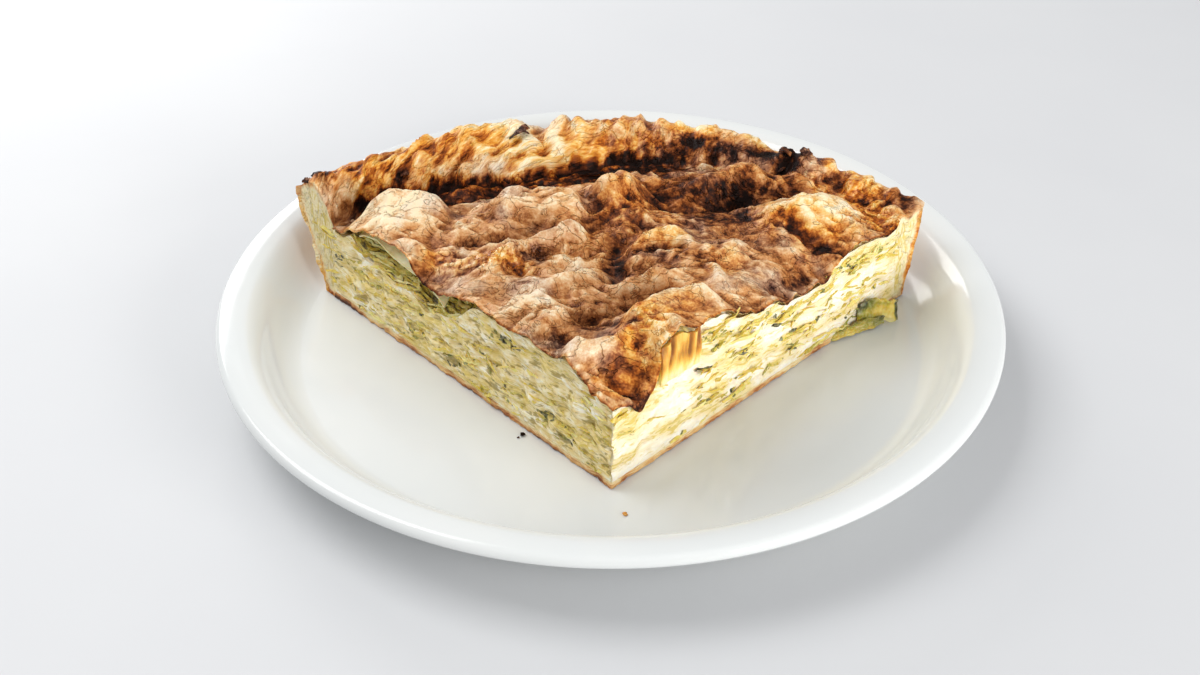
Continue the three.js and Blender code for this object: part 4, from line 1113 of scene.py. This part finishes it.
shreds_from = shred_tree()
strew("leek_shreds_left", on_left_cut, LEFT_CUT, left_leek, 1.3, (8, 0.8, 0.6), (0.1, 0.6), 7)
strew("dark_leek_left", on_left_cut, LEFT_CUT, dark_left_leek, 1.0, (3.6, 0.8, 0.6), (0.7, 1.1), 7)
strew("leek_in_hollow", in_the_hollow, LEFT_CUT, hollow_leek, 1.6, (9, 1.0, 0.8), (0.0, 0.62), 5)
strew("leek_shreds_right", on_right_cut, RIGHT_CUT, right_leek, 1.7, (11, 1.1, 0.7), (0.1, 0.6), 3)
strew("dark_leek_right", on_right_cut, RIGHT_CUT, dark_right_leek, 1.5, (4.4, 1.1, 0.7), (0.7, 1.1), 3)

# Inner leaf
# A single pale sheet of boiled pastry between crust and filling. It has come loose at the left
# cut and bows across the hollow behind it.
LEAF_THICKNESS = 0.6
# The leaf's lower edge at the cut: distance from the tip, height
LEAF_EDGE = [(80, 35), (86, 38), (93, 40.5), (100, 41.5), (108, 43), (116, 44.5), (126, 42)]
(a, b, level), leaf_faces = block_skin(84, 24, 1)
q = mix(LEAF_EDGE[0][0], LEAF_EDGE[-1][0], a)
p = mix(0.3, 8, b ** 1.4) + 0.5 * np.sin(a * 9) * (1 - b)
in_plan = place(q, p, 0)
lowest = np.interp(q, *zip(*LEAF_EDGE)) + 0.4 * lumps(in_plan, 4)
highest = crust_over(q, p) - CRUST_THICKNESS - 2
lower = mix(np.minimum(lowest, highest), highest, smooth(b * 1.2)) + 0.15 * lumps(in_plan, 1.5)
inner_corners = place(q, p, lower + LEAF_THICKNESS * level)

soft_filo = Finish("soft pale pastry", {"Roughness": 0.45, "Subsurface Weight": 0.3,
                                        "Subsurface Scale": 0.003})
creamy = soft_filo.ramp(soft_filo.noise(5, detail=4, warp=0.5), (0.3, "efe2bb"), (0.5, "e6d59c"),
                        (0.7, "dcc584"))
stripes = soft_filo.noise(2.2, detail=2, stretch=(0.8, 0.8, 4), shift=5)
# The baked mark also carries the pleated leaf's painted valley shade and ridge highlight
amber_and_valley_shade = soft_filo.total(soft_filo.mark("baked"), soft_filo.swing(stripes, 0.6))
baked = soft_filo.ramp(amber_and_valley_shade, (0.1, "f3e3b4"), (0.35, "efd070"), (0.6, "dea23a"),
                       (0.85, "a86a1e"), (1.0, "6e4212"))
leaf_share = soft_filo.ramp(soft_filo.mark("baked"), (0.0, 0.0), (0.1, 1.0))
soft_filo.join(base_color=soft_filo.mixed(leaf_share, creamy, baked),
               normal=soft_filo.bump(soft_filo.noise(1.1, detail=3), 0.2))
new_piece("inner_leaf_sheet", inner_corners, leaf_faces, soft_filo, "pale_filo",
          replaced=["inner_leaf"], baked=0)

# Pleated leaf
# Soft sheets of pastry gathered upright in the mouth under the front mound, cream below and
# baked amber towards the crust, with painted shade in the gathers' valleys and a painted highlight
# on their ridges.
GATHER_SPACING = 6.2
GATHER_FOOT = 36
GATHER_THICKNESS = 1.1
(a, b, level), pleat_faces = block_skin(120, 40, 2)
p = mix(*LEAF_SPAN, a)
z = mix(GATHER_FOOT, crust_over(0, p) - CRUST_THICKNESS - 1.3, b)
across_gathers = (p - 0.16 * z + 3.5 * lumps(spots_of(p, 0, z * 0.6), 6)) / GATHER_SPACING
pleat = (np.abs(np.sin(math.pi * across_gathers)) - 0.6) * (0.3 + 1.2 * b)
pleat += 0.2 * lumps(spots_of(p * 2.5, 0, z * 0.5), 2)
proud = 0.1 + pleat + 0.4 * np.sin(math.pi * b)
pleat_corners = place(-proud + GATHER_THICKNESS * (1 - level), p, z)
# Darker amber in the gathers' valleys and lighter on their ridges: painted shade and painted highlight,
# over the real baking towards the crust
pleat_amber_and_valley_shade = np.clip(0.19 + 0.55 * smooth(b * 2 - 0.1) - 0.45 * pleat, 0.1, 0.85)
new_piece("pleated_leaf_sheets", pleat_corners, pleat_faces, soft_filo, "pale_filo", sharp=80,
          replaced=["pleated_leaf"], baked=pleat_amber_and_valley_shade)

# Top crust
# One thin sheet of pastry, brushed with oil and baked until it wrinkled over the filling. It
# hangs a little over both cuts and droops as a flap at the tip. Tan, with scorched blisters.
CRUST_CELLS = 212
HANG_CELLS = 8
FLAP_LENGTH = 17
BEND_RADIUS = 2.2
MOST_BEND = math.radians(85)
CRISP = 1.0
DEEPEST_CREASE = -0.8
# Fine creases pulled in one way: middle x and y, half run, half width, heading, spacing, height
PLEATS = {
    "ridge face": ((-26, 8), 22, 9, -35, 4.2, 0.9),
    "left hump": ((-70, 6), 14, 10, -30, 4, 0.8),
    "left front": ((-52, -8), 14, 8, 80, 2.6, 0.5),
    "second fold": ((-20, -4), 14, 8, 120, 2.9, 0.5),
    "centre": ((0, -8), 8, 18, -20, 3.6, 0.6),
    "right of centre": ((30, 12), 16, 12, 5, 3.8, 0.6),
    "dome": ((66, 6), 16, 12, 30, 4.2, 0.35),
    "slant fold": ((17, -30), 20, 8, 25, 3, 0.35),
    "mound": ((16, -52), 12, 12, 35, 2.8, 0.35),
    "flap": ((6, -74), 9, 9, 20, 2.2, 0.45),
    "right edge": ((56, -22), 12, 14, 60, 3.2, 0.45),
    "back right": ((60, 38), 22, 8, 10, 3.4, 0.6),
    "front left": ((-24, -38), 14, 14, 150, 3.3, 0.4),
}


def crust_wrinkles(x, y):
    """Creases, small folds and blisters of the thin sheet, in millimetres."""
    flat = spots_of(x, y, 0)
    pull = spots_of(lumps(flat, 13, 1.5), lumps(flat, 13, 8.5), 0)
    warped = flat + 5 * pull
    crumpled = smooth(0.6 + 1.8 * lumps(flat, 16, 12.3))
    folds = 2.6 * (0.28 - np.abs(lumps(warped * (0.55, 1, 1), 9, 2.7)))
    creases = (0.9 + 1.8 * crumpled) * (0.28 - np.abs(lumps(warped * (0.5, 1, 1), 4.2, 6.1)))
    creases += (0.4 + 0.9 * crumpled) * (0.25 - np.abs(lumps(warped * (0.5, 1, 1), 2.3, 9.3)))
    puffs = 1.5 * (np.abs(lumps(warped * (0.7, 1, 1), 7, 3.1)) - 0.25)
    crinkle = (0.1 + 0.4 * crumpled) * lumps(warped * (0.7, 1, 1), 1.9, 4.4)
    pleats = np.zeros(len(x))
    for at, run, half, heading, spacing, height in PLEATS.values():
        along, across = along_and_across(at, heading, x, y)
        strength = bell(along, run) * bell(across, half)
        near = strength > 0.02
        spots = spots_of(along + 3 * pull[:, 0], across / 4, 0)[near]
        fold = 0.25 - np.abs(lumps(spots, spacing, 0.37 + heading))
        pleats[near] += 2.8 * height * strength[near] * fold
    total = folds + creases + puffs + crinkle + pleats
    return np.where(total < DEEPEST_CREASE, mix(DEEPEST_CREASE, total, 0.5), total)


def hang_past_right(p):
    """How far the crust hangs past the right cut: a flap at the tip, then a short edge."""
    flap = 1.5 + 3.5 * smooth(p / 10)
    edge = 1.3 + 0.6 * np.sin(p / 5)
    return mix(flap, edge, smooth((p - FLAP_LENGTH) / 3))


def hang_past_left(q):
    return 1.5 + 0.7 * np.sin(q / 6) + 1.5 * bell(q - 22, 6) + 1.2 * bell(q - 72, 8)


def drape(q, p, lift):
    """The crust at q and p, or hanging over a cut where one of them is below nought."""
    q_in = np.maximum(q, 0)
    p_in = np.maximum(p, 0)
    past = np.hypot(q - q_in, p - p_in)
    spot = place(q_in, p_in, 0.0)
    spot[:, 2] = crust_over(q_in, p_in) + crust_wrinkles(spot[:, 0], spot[:, 1])
    curl = np.minimum(past / BEND_RADIUS, MOST_BEND)
    hang = past - BEND_RADIUS * curl
    beyond = place(q, p, 0) - place(q_in, p_in, 0)
    length = np.maximum(np.hypot(beyond[:, 0], beyond[:, 1]), 1e-9)
    reach = (BEND_RADIUS + lift) * np.sin(curl) + hang * np.cos(curl)
    drop = BEND_RADIUS - (BEND_RADIUS + lift) * np.cos(curl) + hang * np.sin(curl)
    spot += beyond / length[:, None] * np.where(past > 0, reach, 0)[:, None]
    spot[:, 2] += np.where(past > 0, -drop, lift)
    return spot, past


all_cells = CRUST_CELLS + HANG_CELLS
(a, b, level), crust_faces = block_skin(all_cells, all_cells, 2)
column = a * all_cells - HANG_CELLS
row = b * all_cells - HANG_CELLS
q, p = sector(np.maximum(column, 0) / CRUST_CELLS, np.maximum(row, 0) / CRUST_CELLS,
              lambda heading: rim_foot(heading) - GAP + 1.2)
ragged_right = 0.5 * lumps(spots_of(p, 0, 0), 3.1) + 0.3 * lumps(spots_of(p, 0, 0), 1.1)
ragged_left = 0.6 * lumps(spots_of(q, 0, 0), 3.4, 5) + 0.3 * lumps(spots_of(q, 0, 0), 1.2, 5)
q_hang = np.minimum(column, 0) / HANG_CELLS * (hang_past_right(p) + ragged_right)
p_hang = np.minimum(row, 0) / HANG_CELLS * (hang_past_left(q) + ragged_left)
crust_corners, past = drape(q + q_hang, p + p_hang, CRISP * (level - 1))
crust_toast, crust_amber, crust_gloss = oven_stains_and_shade(crust_corners[:, 0], crust_corners[:, 1])
browned_edge = smooth(np.maximum(-column, -row) / HANG_CELLS * 2 - 0.8)
crust_toast = crust_toast + 0.2 * browned_edge
crust_amber = np.clip(crust_amber + 0.5 * browned_edge, 0, 1)
# How proud each corner stands; the finish paints shade into the valleys and a highlight onto the ridges
# from it
crust_proud = proud_of_surroundings(crust_corners, crust_faces, near_rounds=6, far_rounds=86)
drawn = spots_of(lumps(crust_corners, 26, 4.5), lumps(crust_corners, 26, 9.5), 0)
crust_grain = crust_corners + 4 * drawn

crust = Finish("browned filo crust", {"Subsurface Weight": 0.04, "Subsurface Scale": 0.0015})
top_skin, shine, crease = oven_skin(crust, 13, 4.2, 0.7, (1.3, 1, 1), 0.6)
grainy = crust.noise(0.7, detail=2)
pale_under = crust.ramp(crust.noise(5, detail=4), (0.3, "e2c390"), (0.7, "c9a066"))
blister = crust.times(crust.noise(1.5, detail=3), crust.mark("gloss"))
crust.join(
    base_color=crust.mixed(crust.mark("under"), top_skin, pale_under),
    roughness=crust.ramp(crust.total(crust.mark("gloss"), crust.uneven(0.4, 5, shift=9)),
                         (0.0, 0.52), (1.0, 0.2)),
    specular=shine,
    normal=crust.bump(grainy, 0.1, crust.bump(blister, -0.4, crust.bump(crease, -0.4))))
new_piece("wrinkled_top_crust", crust_corners, crust_faces, crust, "browned_filo_crust", sharp=75,
          replaced=["top_crust"], toast=crust_toast, amber=crust_amber, gloss=crust_gloss,
          proud=crust_proud, grain=crust_grain, under=level == 0)

# Scorched flakes
# Scraps of the thinnest top sheets that stood up in the oven, curled and burnt. Each is still
# joined to the rim or the crust at one end.
FLAKE_THICKNESS = 0.35
FLAKE_TOAST = 0.78
FLAKE_GLOSS = 0.2
# Place of the joined end in plan, heading, length, width, lift of the free end
FLAKES = [((-37, 57.5), 4, 10, 7, 3), ((-107, 25), 70, 3.5, 3, 0.5),
          ((-105, 29), 40, 3.5, 3, 0.8), ((66, 46), 160, 6, 4, 1.4), ((71, 42), 100, 5, 4, 1.0),
          ((61, 44), 30, 5, 3, 1.2), ((-75, 36), 10, 4, 2.5, 1.0), ((-2, -74), -120, 3.5, 3, 0.8)]
flake_spots = []
flake_faces = []
for at, heading, length, width, lift in FLAKES:
    (t, across, level), faces = block_skin(14, 8, 1)
    flat = spots_of(at[0] + 9 * t, at[1] + 9 * across, 0)
    along = length * t * (1 - 0.25 * t) * (1 + 0.3 * lumps(flat, 3))
    aside = width * (1 - 0.4 * t ** 2) * (across - 0.5) * (1 + 0.35 * lumps(flat, 2.5, 5.5))
    turn = math.radians(heading)
    x = at[0] + along * math.cos(turn) - aside * math.sin(turn)
    y = at[1] + along * math.sin(turn) + aside * math.cos(turn)
    curled = lift * np.sin(2.4 * t) - 0.25 * lift * (2 * across - 1) ** 2 * t
    z = top_height(*at) - 0.3 + curled + FLAKE_THICKNESS * level
    flake_faces.append(faces + sum(len(spots) for spots in flake_spots))
    flake_spots.append(spots_of(x, y, z + 0.3 * lumps(flat, 2, 2.5)))
flake_spots = np.concatenate(flake_spots)
new_piece("scorched_flakes", flake_spots, np.concatenate(flake_faces), crust, "browned_filo_crust",
          toast=FLAKE_TOAST, amber=0, gloss=FLAKE_GLOSS, proud=0, grain=flake_spots, under=0)

# Leek strips
# Two limp pieces of leek leaf that have slid out of the right cut on to the plate, yellow-green
# with long veins.
LEEK_THICKNESS = 0.9


def leek_strip(name, line, widths, lean, hues, crumple, replaced):
    """A limp strip on edge along a bent line; its top edge leans away from the cut by lean."""
    (t, across, level), faces = block_skin(60, 18, 2)
    start, sag, end = [place(*np.array(spot, dtype=float)) for spot in line]
    t = t[:, None]
    spine = (1 - t) ** 2 * start + 2 * t * (1 - t) * sag + t ** 2 * end
    ahead = 2 * (1 - t) * (sag - start) + 2 * t * (end - sag)
    torn_edge = 1 + 0.3 * lumps(spots_of(t[:, 0] * 20, np.round(across) * 9, 0), 3)
    wide = (np.interp(t[:, 0], (0, 0.45, 0.6, 1), widths) * torn_edge)[:, None]
    side = (RIGHT_OUTWARD * lean + np.array([0, 0, 1])) / math.hypot(lean, 1) * wide
    facing = np.cross(side, ahead)
    facing = facing / np.linalg.norm(facing, axis=1)[:, None]
    spots = spine + side * (across - 0.5)[:, None]
    cupped = 0.6 * (1 - (2 * across - 1) ** 2) + 0.1 * np.sin(across * 26)
    wavy = crumple * (lumps(spots, 5) + 0.5 * lumps(spots, 2.2))
    spots = spots + facing * (LEEK_THICKNESS * (level - 0.5) + cupped + wavy - 0.3)[:, None]
    spots[:, 2] = np.maximum(spots[:, 2], WELL_FLOOR + 0.1 + LEEK_THICKNESS * level / 2)
    hue = np.interp(t[:, 0], *zip(*hues)) + 0.25 * (across - 0.5) + 0.35 * lumps(spots, 5, 3.5)
    new_piece(name, spots, faces, leek, "cooked_leek", replaced=[replaced], hue=hue)


leek_strip(
    "fallen_leek_upper", line=[(-0.3, 122.5, 13), (-3.5, 128.5, 13.6), (-8.0, 136.5, 11.8)],
    widths=(7, 10, 8.6, 8.4), lean=-0.1, crumple=1.3, replaced="leek_strip_upper",
    hues=[(0, 0.82), (0.45, 0.62), (0.58, 0.36), (0.9, 0.3), (0.95, 0.9), (1, 1)])
leek_strip(
    "fallen_leek_lower", line=[(0.4, 109, 9.0), (-2.6, 120, 9.8), (-6.0, 131, 9.4)],
    widths=(2.4, 3.4, 4.2, 3.2), lean=-0.2, crumple=1.2, replaced="leek_strip_lower",
    hues=[(0, 0.75), (0.3, 0.4), (0.5, 0.7), (0.75, 0.45), (1, 0.9)])

# Crumbs
# Specks of crust and pastry that fell on the plate when the wedge was served, one golden and two
# burnt. They lie loose on the well.
CRUMB_SHAPE = (1, 0.8, 0.6)
# Place in plan, radius, toast and amber
CRUMBS = [((4, -98), 0.8, 0.4, 1.0), ((-28.4, -60.4), 0.9, 0.95, 0.2), ((-29.8, -61.6), 0.4, 0.8, 0.1)]
for index, (at, size, crumb_toast, crumb_amber) in enumerate(CRUMBS):
    lump = bmesh.new()
    bmesh.ops.create_icosphere(lump, subdivisions=2, radius=size)
    spots = np.array([vertex.co[:] for vertex in lump.verts])
    faces = [[vertex.index for vertex in face.verts] for face in lump.faces]
    lump.free()
    spots *= (1 + 0.7 * lumps(spots + 17 * index, size))[:, None] * CRUMB_SHAPE
    spots += (*at, WELL_FLOOR + 0.02 - spots[:, 2].min())
    new_piece(f"crumb_{index + 1}", spots, faces, crust, "browned_filo_crust", toast=crumb_toast,
              amber=crumb_amber, gloss=0, proud=0, grain=spots, under=0)

# Floor, camera and lights
# A plain pale surface in soft daylight: a low, fairly crisp key from behind on the left, a wide
# fill from the front right, and a broad soft light from the upper left.
LENS = 45
SENSOR_WIDTH = 36
ELEVATION = math.radians(35.84)
CAMERA_DISTANCE = 0.5392
TARGET = (-0.00352, 0.00326)
FLOOR_REACH = 6.0
LIGHTS_AIM = 0.03
ROOM_LIGHT = 0.56
# Name, place in metres, size, power and warmth
LIGHTS = [("key", (-0.464, 0.803, 0.375), 0.45, 3.2, 0.05),
          ("fill", (1.1, -1.0, 0.35), 0.9, 22, 0.15),
          ("soft", (-0.862, 0.314, 1.311), 1.0, 14, 0.0)]

floor_ends = np.array([(-1, -1, 0), (1, -1, 0), (1, 1, 0), (-1, 1, 0)])
floor = new_object("floor", new_mesh("floor", FLOOR_REACH * floor_ends, [(0, 1, 2, 3)]))
stone = Finish("pale floor", {"Roughness": 0.6})
stone.join(base_color=stone.mixed(stone.noise(90, detail=4), "d3d4d5", "cdced0"))
floor.data.materials.append(stone.material)

camera_data = bpy.data.cameras.new("camera")
camera_data.lens = LENS
camera_data.sensor_width = SENSOR_WIDTH
camera = new_object("camera", camera_data)
camera.location = (TARGET[0], TARGET[1] - CAMERA_DISTANCE * math.cos(ELEVATION),
                   CAMERA_DISTANCE * math.sin(ELEVATION))
camera.rotation_euler = (math.pi / 2 - ELEVATION, 0, 0)
bpy.context.scene.camera = camera

# Square lights that face the plate
for name, at, size, power, warmth in LIGHTS:
    data = bpy.data.lights.new(name, "AREA")
    data.size = size
    data.energy = power
    data.color = (1, mix(1, 0.9, warmth), mix(1, 0.8, warmth))
    light = new_object(name, data)
    light.location = at
    flat = math.hypot(at[0], at[1])
    facing_in = math.atan2(at[1], at[0]) + math.pi / 2
    light.rotation_euler = (math.atan2(flat, at[2] - LIGHTS_AIM), 0, facing_in)

world = bpy.data.worlds.new("room")
world.use_nodes = True
room = world.node_tree.nodes["Background"]
room.inputs["Color"].default_value = (0.97, 0.98, 1, 1)
room.inputs["Strength"].default_value = ROOM_LIGHT
bpy.context.scene.world = world
bpy.context.scene.view_settings.view_transform = "Standard"
